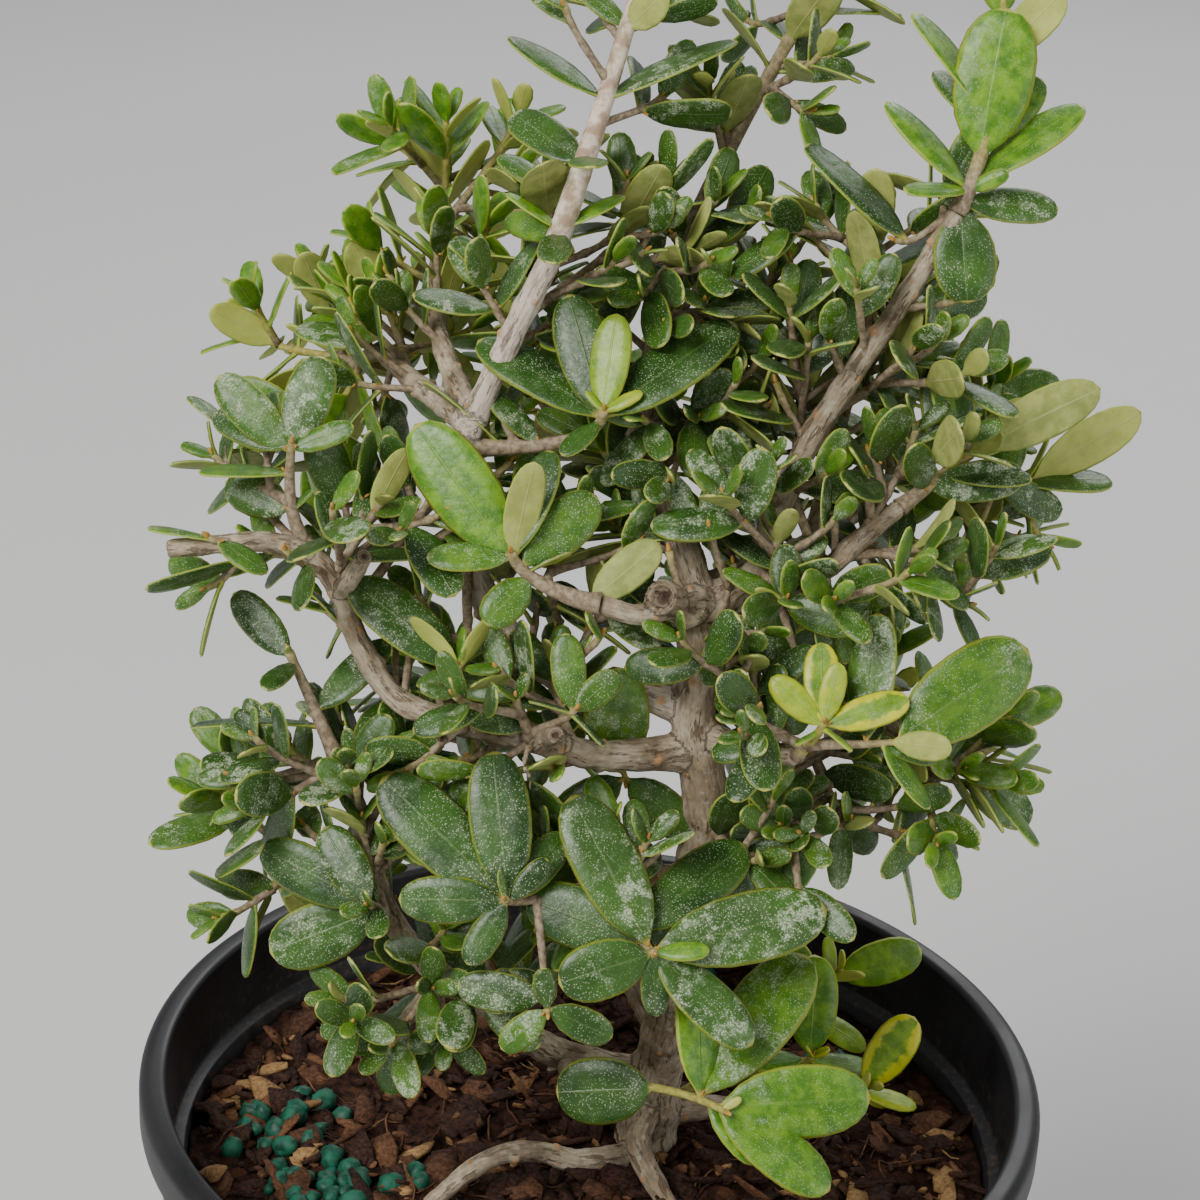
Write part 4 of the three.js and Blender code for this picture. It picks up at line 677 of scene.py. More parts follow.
class Bezier:
    """A cubic curve, which runs from 0 to 1."""

    def __init__(self, a, b, c, d):
        self.controls = [np.asarray(p, float) for p in (a, b, c, d)]

    def point(self, t):
        a, b, c, d = self.controls
        s = 1 - t
        return s**3 * a + 3 * s * s * t * b + 3 * s * t * t * c + t**3 * d

    def tangent(self, t):
        a, b, c, d = self.controls
        s = 1 - t
        return unit(s * s * (b - a) + 2 * s * t * (c - b) + t * t * (d - c))


def even_points(curve, step):
    """Points at even steps of length along a curve, and each one's fraction of the length."""
    fine = np.array([curve.point(t) for t in np.linspace(0, 1, 129)])
    sums = np.concatenate([[0], np.cumsum(np.linalg.norm(np.diff(fine, axis=0), axis=1))])
    count = max(2, int(round(sums[-1] / step))) + 1
    places = np.linspace(0, sums[-1], count)
    return np.stack([np.interp(places, sums, fine[:, k]) for k in range(3)], 1), places / sums[-1]


# Growth: shoots first, then the listed leaves, then pairs that find room


def shoot_curve(base, shoot):
    end = np.array(shoot["tip"], float)
    reach = np.linalg.norm(end - base) / 3
    away = unit(shoot["start"]) if "start" in shoot else unit(end - base)
    return Bezier(base, base + away * reach, end - unit(shoot["aim"]) * reach, end)


def turned(axis, degrees):
    first = unit(np.cross(axis, LEAN))
    second = np.cross(axis, first)
    return first * math.cos(math.radians(degrees)) + second * math.sin(math.radians(degrees))


def side_twigs(shoot, curve, spray_number):
    """The short side twigs of a bushy shoot, spread round it by the golden angle."""
    twigs = []
    count = shoot.get("twigs", 0)
    for k in range(count):
        draw = draws(spray_number * 97 + k * 13 + 5)
        at = 0.3 + 0.55 * (k + 0.5) / count
        axis = curve.tangent(at)
        out = turned(axis, shoot.get("turn", 0) + 45 + GOLDEN_ANGLE * k + (draw() - 0.5) * 40)
        way = unit(axis * 0.55 + out * 0.9 + np.array([0, 0, 0.35]))
        tip = curve.point(at) + way * (13 + draw() * 8)
        twigs.append(dict(
            at=at, tip=tip, aim=way + np.array([0, 0, 0.6]), radius=0.8, pairs=3,
            leaf=12 + 5 * draw(), turn=draw() * 90, side=k, tone=0.7 * shoot.get("tone", 0),
        ))
    return twigs


def make_leaf(foot, direction, normal, length, width, tone, chance):
    return dict(
        foot=foot, direction=direction, normal=normal, across=np.cross(normal, direction),
        length=length, width=width, tone=tone, chance=chance,
    )


def own_leaf(curve, row, chance):
    t, x, y, z, face, ratio, tone = row
    reach = np.array([x, y, z], float)
    length = float(np.linalg.norm(reach))
    direction = reach / length
    normal = square_to(direction, np.array(FACES[face]))
    if ratio < NARROWEST:
        across = np.cross(direction, normal)
        turn = math.acos(ratio / NARROWEST)
        normal = normal * math.cos(turn) + across * math.copysign(math.sin(turn), across[2])
    width = length * max(ratio, NARROWEST)
    return make_leaf(curve.point(t), direction, normal, length, width, tone, chance)


def arc_lengths(curve):
    points = np.array([curve.point(i / 32) for i in range(33)])
    return np.concatenate([[0], np.cumsum(np.linalg.norm(np.diff(points, axis=0), axis=1))])


def pair_leaf(shoot, curve, sums, number, pair, side, shift):
    """One leaf of a pair, by rule. "shift" is another turn and opening, for when the first is blocked."""
    draw = draws(number * 64 + pair * 2 + side)
    back = max(1.5 + 0.3 * pair, sums[-1] - PAIR_BACK[pair])
    t = float(np.interp(back, sums, np.linspace(0, 1, 33)))
    axis = curve.tangent(t)
    turn = shoot.get("turn", 0) + 90 * (pair % 2) + 180 * side + (draw() - 0.5) * 24 + shift[0]
    opened = math.radians(PAIR_OPEN[pair] + (draw() - 0.5) * 16 + shift[1])
    size = shoot["leaf"] * PAIR_SIZE[pair] * (0.94 if side else 1) * (1 + (draw() - 0.5) * 0.16)
    roll = math.radians((draw() - 0.5) * 30)
    width = size * (0.4 + 0.12 * draw() if size > 9 else 0.44 + 0.1 * draw())
    direction = unit(axis * math.cos(opened) + turned(axis, turn) * math.sin(opened))
    foot = curve.point(t)
    outward = (foot - CROWN_AXIS) * np.array([1, 1, 0])
    outward = outward * 0.6 / max(20, np.linalg.norm(outward)) + LIGHT
    outward = outward - (outward @ direction) * direction
    normal = square_to(direction, square_to(direction, axis) + outward * 1.1)
    upper = turned_about(normal, direction, roll)
    tone = shoot.get("tone", 0) + (0.25 - 0.1 * pair if pair < 2 else 0) * (0.4 + draw())
    return make_leaf(foot, direction, upper, size, width, min(1, tone), draw())


def bulge(s):
    u = np.clip((s - 0.06) / 0.94, 0, 1)
    return np.maximum(0, 1 - np.abs(2 * u**1.15 - 1) ** 2.5) ** 0.55


def half_width(width, s):
    least = np.where(s < 0.9, BLADE["stalk"], 0)
    return np.maximum(least, width / 2 * bulge(s))


ALONG, ACROSS = np.meshgrid([0.2, 0.45, 0.7, 0.95], [-0.85, 0, 0.85], indexing="ij")


def blade_grid(leaf):
    """A small grid of points of a leaf's middle plane."""
    sag = -BLADE["sag"] * leaf["length"] * ALONG**2
    side = ACROSS * half_width(leaf["width"], ALONG)
    return (
        leaf["foot"]
        + leaf["direction"] * (leaf["length"] * ALONG)[..., None]
        + leaf["across"] * side[..., None]
        + leaf["normal"] * sag[..., None]
    )


def any_meets(grid, foot, direction, across, normal, length, width, clearance):
    """Whether a grid of points comes nearer than the clearance to a leaf, or cuts through it.

    Each argument is one leaf's, or a stack of several leaves'.
    """
    v = grid - foot[..., None, None, :]
    length, width = length[..., None, None], width[..., None, None]
    x = (v * direction[..., None, None, :]).sum(-1) / length
    y = (v * across[..., None, None, :]).sum(-1)
    z = (v * normal[..., None, None, :]).sum(-1) + BLADE["sag"] * length * x * x

    def inside(x, y):
        return (x > 0.08) & (x < 1.03) & (np.abs(y) < half_width(width, x) + 0.4)

    if np.any((np.abs(z) < clearance) & inside(x, y)):
        return True
    for one, two in ((np.s_[..., :-1, :], np.s_[..., 1:, :]), (np.s_[..., :-1], np.s_[..., 1:])):
        split = z[one] * z[two] <= 0
        f = np.where(split, z[one] / np.where(z[one] == z[two], 1, z[one] - z[two]), 0)
        if np.any(split & inside(x[one] + (x[two] - x[one]) * f, y[one] + (y[two] - y[one]) * f)):
            return True
    return False


FRAME = ("foot", "direction", "across", "normal", "length", "width")
SHIFTS = [(0, 0), (16, 0), (-16, 0), (0, -14), (32, -8), (-32, -8), (12, 14), (-12, 14)]

# Finer trim stays inside the part's own box
TRIM_BOX = [np.array(corner) / MM for corner in cad_box]

limb_curves = {name: Spline(points) for name, (points, radii) in WOOD.items()}


def seen(points):
    """Where the camera sees each point, across and up as shares of its depth, and that depth."""
    away = np.asarray(points, float).reshape(-1, 3) - np.array(CAMERA["place"])
    depth = away @ FORWARD
    return np.stack([away @ RIGHT / depth, away @ UP / depth, depth], 1)


class Growth:
    """All shoots and leaves, and the room that they and the bark take."""

    def __init__(self):
        self.shoots = []
        self.leaves = []
        places, radii, owners = [], [], []
        for name, (points, thickness) in WOOD.items():
            steps = (len(points) - 1) * 5
            for i in range(steps + 1):
                places.append(limb_curves[name].point(i / steps))
                radii.append(along(thickness, i / steps))
                owners.append(-1)
        for spray_number, (name, (limb, at, rows)) in enumerate(SPRAYS.items()):
            main = shoot_curve(limb_curves[limb].point(at), rows[0])
            for k, row in enumerate(rows + side_twigs(rows[0], main, spray_number)):
                curve = main if k == 0 else shoot_curve(main.point(row["at"]), row)
                number = len(self.shoots)
                rank = "twig" if "side" in row else "main" if k == 0 else "other"
                self.shoots.append(dict(row, spray=name, number=number, rank=rank, curve=curve))
                for i in range(11):
                    places.append(curve.point(i / 10))
                    end = max(0.55, 0.55 * row["radius"])
                    radii.append(row["radius"] + (end - row["radius"]) * i / 10)
                    owners.append(number)
        self.bark = [np.array(places), np.array(radii), np.array(owners)]
        self.table = {key: [] for key in ("grid",) + FRAME}
        self.arrays = {}

    def near_bark(self, leaf, number, clearance):
        places, radii, owners = self.bark
        reach = leaf["length"] + radii + clearance
        near = (owners != number) & (np.linalg.norm(places - leaf["foot"], axis=1) <= reach)
        if not near.any():
            return False
        gaps = np.linalg.norm(leaf["grid"].reshape(-1, 1, 3) - places[near], axis=2)
        return bool(np.any(gaps < radii[near] + clearance))

    def free(self, leaf, number, clearance):
        if self.near_bark(leaf, number, clearance):
            return False
        if len(self.arrays.get("foot", ())) != len(self.leaves):
            self.arrays = {key: np.array(rows) for key, rows in self.table.items()}
        if not self.leaves:
            return True
        reach = (self.arrays["length"] + leaf["length"]) * 1.05
        near = np.linalg.norm(self.arrays["foot"] - leaf["foot"], axis=1) < reach
        if not near.any():
            return True
        others = {key: rows[near] for key, rows in self.arrays.items()}
        mine = [np.asarray(leaf[key]) for key in FRAME]
        return not (
            any_meets(leaf["grid"], *(others[key] for key in FRAME), clearance)
            or any_meets(others["grid"], *mine, clearance)
        )

    def add(self, leaf, shoot):
        leaf["grid"] = blade_grid(leaf)
        leaf["spray"] = shoot["spray"]
        self.leaves.append(leaf)
        for key, rows in self.table.items():
            rows.append(leaf[key])

    def add_pair(self, shoot, pair, clearance):
        if "sums" not in shoot:
            shoot["sums"] = arc_lengths(shoot["curve"])
        sums = shoot["sums"]
        for side in (0, 1):
            for shift in SHIFTS:
                number = shoot["number"] + 1
                leaf = pair_leaf(shoot, shoot["curve"], sums, number, pair, side, shift)
                leaf["by_hand"] = False
                if shoot["rank"] == "fine" and leaf["normal"] @ LIGHT_SIDE < 0:
                    leaf.update(normal=-leaf["normal"], across=-leaf["across"])
                leaf["grid"] = blade_grid(leaf)
                if shoot["rank"] == "fine" and self.hides(leaf["grid"]):
                    continue
                tip = leaf["foot"] + leaf["direction"] * leaf["length"]
                if clearance == TRIM_CLEARANCE and (np.any(tip < TRIM_BOX[0]) or np.any(tip > TRIM_BOX[1])):
                    continue
                if self.free(leaf, shoot["number"], clearance):
                    self.add(leaf, shoot)
                    break

    def grow(self):
        """The leaves that are solid in the part come first, then the finer trim."""
        small = []
        for shoot in self.shoots:
            for k, row in enumerate(shoot.get("leaves", [])):
                leaf = own_leaf(shoot["curve"], row, draws(shoot["number"] * 31 + k)())
                leaf["by_hand"] = True
                if leaf["length"] > BLADE["least"]:
                    self.add(leaf, shoot)
                else:
                    small.append((leaf, shoot))
        built = set()
        for shoot in self.shoots:
            if shoot.get("side", 0) % 2 == 1:
                continue
            for pair in PAIRS_BUILT[shoot["rank"]]:
                if pair < shoot.get("pairs", 0):
                    self.add_pair(shoot, pair, CLEARANCE)
                    built.add((shoot["number"], pair))
        for leaf, shoot in small:
            self.add(leaf, shoot)
        for shoot in self.shoots:
            for pair in range(shoot.get("pairs", 0)):
                if (shoot["number"], pair) not in built:
                    self.add_pair(shoot, pair, TRIM_CLEARANCE)

    def hides(self, points):
        """Whether points lie in front of wood or leaves that the photo shows uncovered."""
        mine = seen(points)[:, None]
        gaps = np.linalg.norm(mine[..., :2] - self.shown[:, :2], axis=2)
        return bool(np.any((gaps < SHOWN_GAP) & (mine[..., 2] < self.shown[:, 2] - 1)))

    def list_shown(self, own):
        """The listed leaves, the shoots that carry them, and the limbs in SHOWN."""
        stack = [seen(leaf["grid"]) for leaf in own]
        for shoot in self.shoots:
            if shoot["rank"] != "twig" and len(shoot.get("leaves", [])) > 1:
                stack.append(seen([shoot["curve"].point(t) for t in np.linspace(0.2, 1, 12)]))
        for limb, start, end in SHOWN:
            stack.append(seen([limb_curves[limb].point(t) for t in np.linspace(start, end, 30)]))
        self.shown = np.concatenate(stack)

    def thicken(self):
        """Finer twigs between the shoots, where there is room, each with a few small leaves."""
        self.list_shown([leaf for leaf in self.leaves if leaf["by_hand"]])
        fine = []
        for shoot in list(self.shoots):
            sums = arc_lengths(shoot["curve"])
            if shoot.get("pairs", 0) < FINE["from_pairs"] or sums[-1] < FINE["from_length"]:
                continue
            for k in range(FINE_TWIGS[shoot["rank"]]):
                draw = draws(shoot["number"] * 53 + k * 7 + 3)
                at = 0.15 + 0.75 * draw()
                base, axis = shoot["curve"].point(at), shoot["curve"].tangent(at)
                self.sprout(fine, shoot["spray"], base, axis, shoot.get("tone", 0), draw, shoot["number"])
        for spray, limb, start, end, count in LIMB_TWIGS:
            for k in range(count):
                draw = draws(sum(map(ord, spray + limb)) * 11 + k)
                at = start + (end - start) * (k + draw()) / count
                base = limb_curves[limb].point(at)
                axis = unit(limb_curves[limb].point(min(1, at + 0.05)) - limb_curves[limb].point(at - 0.05))
                self.sprout(fine, spray, base, axis, 0.1, draw, -1)
        for shoot in fine:
            for pair in (1, 2, 0):
                self.add_pair(shoot, pair, TRIM_CLEARANCE)

    def sprout(self, fine, spray, base, axis, tone, draw, parent):
        """A twig in the first of a few directions that is clear of other wood."""
        for _ in range(FINE["tries"]):
            out = turned(axis, 360 * draw())
            way = unit(axis * 0.5 + out + np.array([0, 0, 0.35]))
            length = FINE["length"] + FINE["longer"] * draw()
            points = base + np.outer(np.linspace(0.3, 1.1, 7) * length, way)
            places, radii, owners = self.bark
            gaps = np.linalg.norm(points[:, None] - places[None], axis=2) - radii
            if np.min(np.where(owners == parent, 9, gaps)[1:]) < FINE["room"] and parent >= 0:
                continue
            if np.min(gaps[3:]) < FINE["room"] or self.hides(points):
                continue
            row = dict(tip=base + way * length, aim=way + np.array([0, 0, 0.5]))
            made = dict(
                row, spray=spray, number=len(self.shoots), rank="fine", curve=shoot_curve(base, row),
                radius=FINE["radius"], pairs=FINE["pairs"], leaf=FINE["leaf"] + FINE["larger"] * draw(),
                turn=90 * draw(), tone=tone,
            )
            self.shoots.append(made)
            fine.append(made)
            steps = [made["curve"].point(i / 6) for i in range(1, 7)]
            self.bark[0] = np.vstack([places, steps])
            self.bark[1] = np.append(radii, [FINE["bark"]] * 6)
            self.bark[2] = np.append(owners, [made["number"]] * 6)
            return


# Finer twigs: the pairs and the length that a shoot needs to carry them, the directions tried for each,
# its least length and leaf and what a draw adds to them, its radius, and the room that it needs
FINE = dict(
    from_pairs=3, from_length=9, tries=5, length=9, longer=9, leaf=11.5, larger=6, pairs=3, radius=0.7,
    bark=0.6, room=2.5,
)

# The number of finer twigs on each kind of shoot, and those that grow straight from a limb:
# the spray that they belong to, the limb, the stretch of it, and how many
FINE_TWIGS = dict(main=4, other=3, twig=1)
LIMB_TWIGS = [
    ("front_mid", "front_mid", 0.2, 0.9, 3),
    ("low_left_front", "front_low", 0.3, 1, 6),
    ("low_front_back", "trunk", 0.45, 0.62, 4),
    ("right_low_up", "trunk", 0.5, 0.8, 4),
    ("mid_left", "leader", 0.15, 0.6, 9),
    ("left_mid", "left", 0.1, 0.95, 14),
    ("left_end", "left_end", 0.1, 0.6, 2),
    ("mid_right_front", "right", 0.1, 0.5, 7),
    ("right_inner", "right", 0.5, 0.95, 5),
    ("right_mid_up", "right_mid", 0.2, 0.9, 5),
    ("crown_low", "crown", 0.1, 0.9, 6),
    ("crown_low", "trunk", 0.8, 0.98, 3),
    ("rear_left", "rear_left", 0.3, 0.9, 3),
    ("rear_high_low", "rear_high", 0.3, 0.9, 3),
    ("rear", "rear", 0.3, 0.9, 4),
    ("rear_right", "rear_right", 0.2, 0.9, 4),
    ("low_right", "low_right", 0.3, 0.9, 3),
    ("low_rear", "low_rear", 0.4, 0.9, 3),
    ("low_rear_left", "low_rear_left", 0.4, 0.9, 3),
    ("left_low_in", "left_low", 0.25, 0.9, 8),
    ("front_base_mid", "front_base", 0.2, 0.9, 3),
]

# The stretches of limbs that the photo shows, and how far a finer twig or leaf stays aside of them, as a
# share of the distance to the camera
SHOWN = [
    ("front_mid", 0, 1), ("knob", 0, 1), ("leader", 0, 1), ("trunk", 0.3, 0.8), ("crown", 0.2, 0.7),
    ("right", 0.45, 1), ("right_mid", 0, 1), ("left", 0.3, 0.8), ("front_stub", 0, 1), ("left_stub", 0, 1),
]
SHOWN_GAP = 0.0046

growth = Growth()
growth.grow()
growth.thicken()

# Meshes


class Skin:
    """Collects points, faces and values for each point, and makes one mesh object of them."""

    def __init__(self, *names):
        self.points = []
        self.faces = []
        self.values = {name: [] for name in names}
        self.count = 0

    def add(self, points, faces, **values):
        points = np.asarray(points, float)
        self.faces.extend(tuple(int(i) + self.count for i in face) for face in faces)
        self.points.append(points)
        self.count += len(points)
        for name, rows in self.values.items():
            value = np.asarray(values[name], float)
            rows.append(np.broadcast_to(value, (len(points), 3)) if value.ndim < 2 else value)

    def make(self, name, material):
        mesh = bpy.data.meshes.new(name)
        mesh.from_pydata((np.concatenate(self.points) * MM).tolist(), [], self.faces)
        for key, rows in self.values.items():
            attribute = mesh.attributes.new(key, "FLOAT_VECTOR", "POINT")
            attribute.data.foreach_set("vector", np.concatenate(rows).astype(np.float32).ravel())
        return make_object(name, mesh, material)


def make_object(name, mesh, material):
    mesh.validate()
    mesh.polygons.foreach_set("use_smooth", [True] * len(mesh.polygons))
    mesh.materials.append(material)
    made = bpy.data.objects.new(name, mesh)
    bpy.context.scene.collection.objects.link(made)
    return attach(made, "root")


def tube(points, radii, sides):
    """Points and faces of a round closed tube along points."""
    points = np.asarray(points, float)
    ways = np.gradient(points, axis=0)
    ways /= np.linalg.norm(ways, axis=1)[:, None]
    normal = square_to(ways[0], np.array([0.31, 0.59, 0.74] if abs(ways[0][2]) < 0.9 else [1.0, 0, 0]))
    angles = np.linspace(0, 2 * math.pi, sides, endpoint=False)
    rings = []
    for point, way, radius in zip(points, ways, radii):
        normal = square_to(way, normal)
        other = np.cross(way, normal)
        rings.append(point + radius * (np.cos(angles)[:, None] * normal + np.sin(angles)[:, None] * other))
    count = len(points)
    faces = []
    for i in range(count - 1):
        for k in range(sides):
            after = (k + 1) % sides
            faces.append((i * sides + k, i * sides + after, (i + 1) * sides + after, (i + 1) * sides + k))
    faces.append(tuple(reversed(range(sides))))
    faces.append(tuple((count - 1) * sides + k for k in range(sides)))
    return np.concatenate(rings), faces


def ball(centre, axes, rows=4, sides=6):
    """Points and faces of an ellipsoid whose three half axes are the rows of "axes"."""
    points = [(0, 0, -1)]
    for i in range(1, rows):
        polar = math.pi * i / rows
        for k in range(sides):
            angle = 2 * math.pi * k / sides
            aside = math.sin(polar)
            points.append((aside * math.cos(angle), aside * math.sin(angle), -math.cos(polar)))
    points.append((0, 0, 1))
    faces = [(0, 1 + (k + 1) % sides, 1 + k) for k in range(sides)]
    for i in range(rows - 2):
        for k in range(sides):
            a, b = 1 + i * sides + k, 1 + i * sides + (k + 1) % sides
            faces.append((a, b, b + sides, a + sides))
    last = len(points) - 1
    faces += [(last, last - sides + k, last - sides + (k + 1) % sides) for k in range(sides)]
    return np.asarray(centre) + np.array(points) @ np.asarray(axes), faces


def lathe(profile, segments):
    """Points and faces of a profile of (radius, height) turned round Z. It starts and ends on the axis."""
    points = [(0, 0, profile[0][1])]
    for radius, z in profile[1:-1]:
        for k in range(segments):
            angle = 2 * math.pi * k / segments
            points.append((radius * math.cos(angle), radius * math.sin(angle), z))
    points.append((0, 0, profile[-1][1]))
    rings = len(profile) - 2
    faces = [(0, 1 + (k + 1) % segments, 1 + k) for k in range(segments)]
    for i in range(rings - 1):
        for k in range(segments):
            a, b = 1 + i * segments + k, 1 + i * segments + (k + 1) % segments
            faces.append((a, b, b + segments, a + segments))
    last = len(points) - 1
    faces += [(last, last - segments + k, last - segments + (k + 1) % segments) for k in range(segments)]
    return np.array(points), faces


# Materials


def linear(red, green, blue):
    """A colour from 0 to 255 as seen on a screen, as the linear values that a shader takes."""
    return tuple((c / 255) ** 2.2 for c in (red, green, blue)) + (1,)


class Nodes:
    """Short calls for the nodes of one material."""

    def __init__(self, name, roughness=0.5, **settings):
        self.material = bpy.data.materials.new(name)
        self.material.use_nodes = True
        self.tree = self.material.node_tree
        self.shader = self.tree.nodes["Principled BSDF"]
        self.shader.inputs["Roughness"].default_value = roughness
        for key, value in settings.items():
            self.shader.inputs[key.replace("_", " ")].default_value = value

    def node(self, kind, **settings):
        made = self.tree.nodes.new(kind)
        for key, value in settings.items():
            setattr(made, key, value)
        return made

    def put(self, socket, value):
        if isinstance(value, bpy.types.NodeSocket):
            self.tree.links.new(value, socket)
        else:
            socket.default_value = value

    def math(self, operation, a, b=0.0, c=0.0, clamp=False):
        made = self.node("ShaderNodeMath", operation=operation, use_clamp=clamp)
        for socket, value in zip(made.inputs, (a, b, c)):
            self.put(socket, value)
        return made.outputs[0]

    def times(self, a, b):
        return self.math("MULTIPLY", a, b)

    def ramp(self, value, low, high, start=0.0, end=1.0):
        made = self.node("ShaderNodeMapRange", interpolation_type="SMOOTHSTEP")
        for socket, item in zip(made.inputs, (value, low, high, start, end)):
            self.put(socket, item)
        return made.outputs[0]

    def mix(self, share, a, b, blend="MIX"):
        made = self.node("ShaderNodeMix", data_type="RGBA", blend_type=blend)
        self.put(made.inputs[0], share)
        self.put(made.inputs[6], a)
        self.put(made.inputs[7], b)
        return made.outputs[2]

    def shades(self, value, low, high, first, second):
        """From one screen colour to another as the value goes from low to high."""
        return self.mix(self.ramp(value, low, high), linear(*first), linear(*second))

    def place(self):
        return self.node("ShaderNodeTexCoord").outputs["Object"]

    def noise(self, place, scale, detail=3.0, roughness=0.55):
        made = self.node("ShaderNodeTexNoise")
        self.put(made.inputs["Vector"], place)
        made.inputs["Scale"].default_value = scale
        made.inputs["Detail"].default_value = detail
        made.inputs["Roughness"].default_value = roughness
        return made.outputs["Fac"]

    def cells(self, place, scale, output="Distance", feature="F1"):
        made = self.node("ShaderNodeTexVoronoi", feature=feature)
        self.put(made.inputs["Vector"], place)
        made.inputs["Scale"].default_value = scale
        return made.outputs[output]

    def stretched(self, place, x, y, z):
        made = self.node("ShaderNodeVectorMath", operation="MULTIPLY")
        self.put(made.inputs[0], place)
        made.inputs[1].default_value = (x, y, z)
        return made.outputs[0]

    def values(self, name):
        made = self.node("ShaderNodeAttribute", attribute_name=name)
        split = self.node("ShaderNodeSeparateXYZ")
        self.put(split.inputs[0], made.outputs["Vector"])
        return split.outputs

    def finish(self, colour, roughness=None, height=None, distance=0.0002, strength=1.0):
        self.put(self.shader.inputs["Base Color"], colour)
        if roughness is not None:
            self.put(self.shader.inputs["Roughness"], roughness)
        if height is not None:
            bump = self.node("ShaderNodeBump")
            bump.inputs["Distance"].default_value = distance
            bump.inputs["Strength"].default_value = strength
            self.put(bump.inputs["Height"], height)
            self.put(self.shader.inputs["Normal"], bump.outputs[0])
        return self.material


def leaf_material():
    """Leaves, petioles, buds and young twigs.

    "blade" holds the place along and across a blade and whether it is the underside. "look" holds the tone
    from old to young, the chance and the kind: 0 for a blade, 1 for a twig and 2 for a bud.
    """
    n = Nodes("olive_leaf", Specular_IOR_Level=0.45)
    place = n.place()
    s, q, under = n.values("blade")
    tone, chance, kind = n.values("look")
    edge = n.math("ABSOLUTE", q)
    broad = n.noise(place, 110, 1)
    fine = n.noise(place, 1000, 2)
    mottle = n.noise(place, 330, 3, 0.6)

    dark = n.shades(broad, 0.35, 0.65, (30, 58, 20), (54, 88, 30))
    dark = n.mix(n.times(chance, 0.4), dark, linear(74, 108, 40))
    fresh = n.shades(mottle, 0.35, 0.65, (70, 116, 18), (112, 154, 34))
    yellow = n.shades(mottle, 0.3, 0.7, (172, 180, 16), (204, 200, 40))
    rim = n.math("ADD", edge, n.times(mottle, 1.2))
    rim = n.times(n.ramp(rim, 0.98, 1.24), n.ramp(tone, 0.84, 1))
    lime = n.shades(mottle, 0.3, 0.7, (134, 160, 26), (160, 180, 46))
    limed = n.times(n.ramp(tone, 0.7, 0.9, 0, 0.8), n.ramp(tone, 0.92, 1, 1, 0.3))
    young = n.mix(limed, fresh, lime)
    young = n.mix(rim, young, yellow)
    top = n.mix(n.ramp(tone, 0, 0.62), dark, young)
    old = n.ramp(tone, 0.1, 0.7, 1, 0.35)

    veins = n.node("ShaderNodeTexWave", bands_direction="X")
    joined = n.node("ShaderNodeCombineXYZ")
    n.put(joined.inputs[0], n.math("SUBTRACT", s, n.times(edge, 0.24)))
    n.put(veins.inputs["Vector"], joined.outputs[0])
    veins.inputs["Scale"].default_value = 3.2
    vein = n.ramp(veins.outputs["Fac"], 0.88, 1)
    rib = n.ramp(edge, 0.02, 0.06, 1, 0)
    top = n.mix(n.times(vein, 0.035), top, linear(110, 140, 80))
    top = n.mix(n.times(rib, 0.13), top, linear(132, 158, 84))

    film = n.noise(place, 340, 4, 0.72)
    blotch = n.ramp(film, 0.47, 0.6)
    spread = n.ramp(n.noise(place, 60, 1), 0.36, 0.58)
    film_share = n.ramp(chance, 0.15, 0.8, 0.2, 1)
    blotch = n.times(n.times(blotch, spread), n.times(film_share, old))
    reach = n.math("ADD", 0.24, n.times(blotch, 0.3))
    grains = n.cells(place, 2600)
    dots = n.math("LESS_THAN", grains, reach)
    crowd = n.ramp(n.noise(place, 170, 1), 0.34, 0.56, 0.3, 1)
    dots = n.times(dots, n.times(n.math("MAXIMUM", crowd, blotch), old))
    top = n.mix(n.times(blotch, 0.55), top, linear(140, 154, 126))
    top = n.mix(n.times(dots, 0.6), top, linear(186, 198, 166))
    margin = n.ramp(edge, 0.9, 0.975)
    top = n.mix(n.times(margin, n.ramp(tone, 0, 0.4, 0.6, 0.85)), top, linear(168, 182, 52))

    # Underside: the leaf's own pale olive, made lighter and yellower still as painted light shining through
    # the thin blade
    underside_with_painted_glow = n.shades(mottle, 0.3, 0.7, (130, 142, 72), (166, 172, 98))
    underside_with_painted_glow = n.mix(n.ramp(tone, 0.1, 0.8), underside_with_painted_glow, linear(192, 198, 90))
    underside_with_painted_glow = n.mix(n.times(rib, 0.5), underside_with_painted_glow, linear(178, 180, 118))
    underside_with_painted_glow = n.mix(n.times(margin, 0.6), underside_with_painted_glow, linear(168, 178, 70))
    blade = n.mix(under, top, underside_with_painted_glow)
    blade = n.mix(n.ramp(s, 0.965, 0.985, 0, 0.8), blade, linear(196, 192, 96))
    stalk = n.ramp(s, 0.02, 0.09, 1, 0)
    blade = n.mix(stalk, blade, linear(172, 158, 78))

    old_bark = n.shades(fine, 0.3, 0.7, (112, 96, 76), (158, 142, 118))
    new_bark = n.shades(fine, 0.3, 0.7, (134, 130, 62), (168, 160, 84))
    bleached = n.shades(mottle, 0.36, 0.6, (160, 136, 112), (216, 202, 184))
    old_bark = n.mix(n.ramp(chance, 0.6, 0.9), old_bark, bleached)
    twig = n.mix(n.ramp(tone, 0.12, 0.6), old_bark, new_bark)
    bud = n.shades(fine, 0.3, 0.7, (160, 116, 52), (190, 150, 78))
    colour = n.mix(n.math("GREATER_THAN", kind, 0.5), blade, twig)
    colour = n.mix(n.math("GREATER_THAN", kind, 1.5), colour, bud)

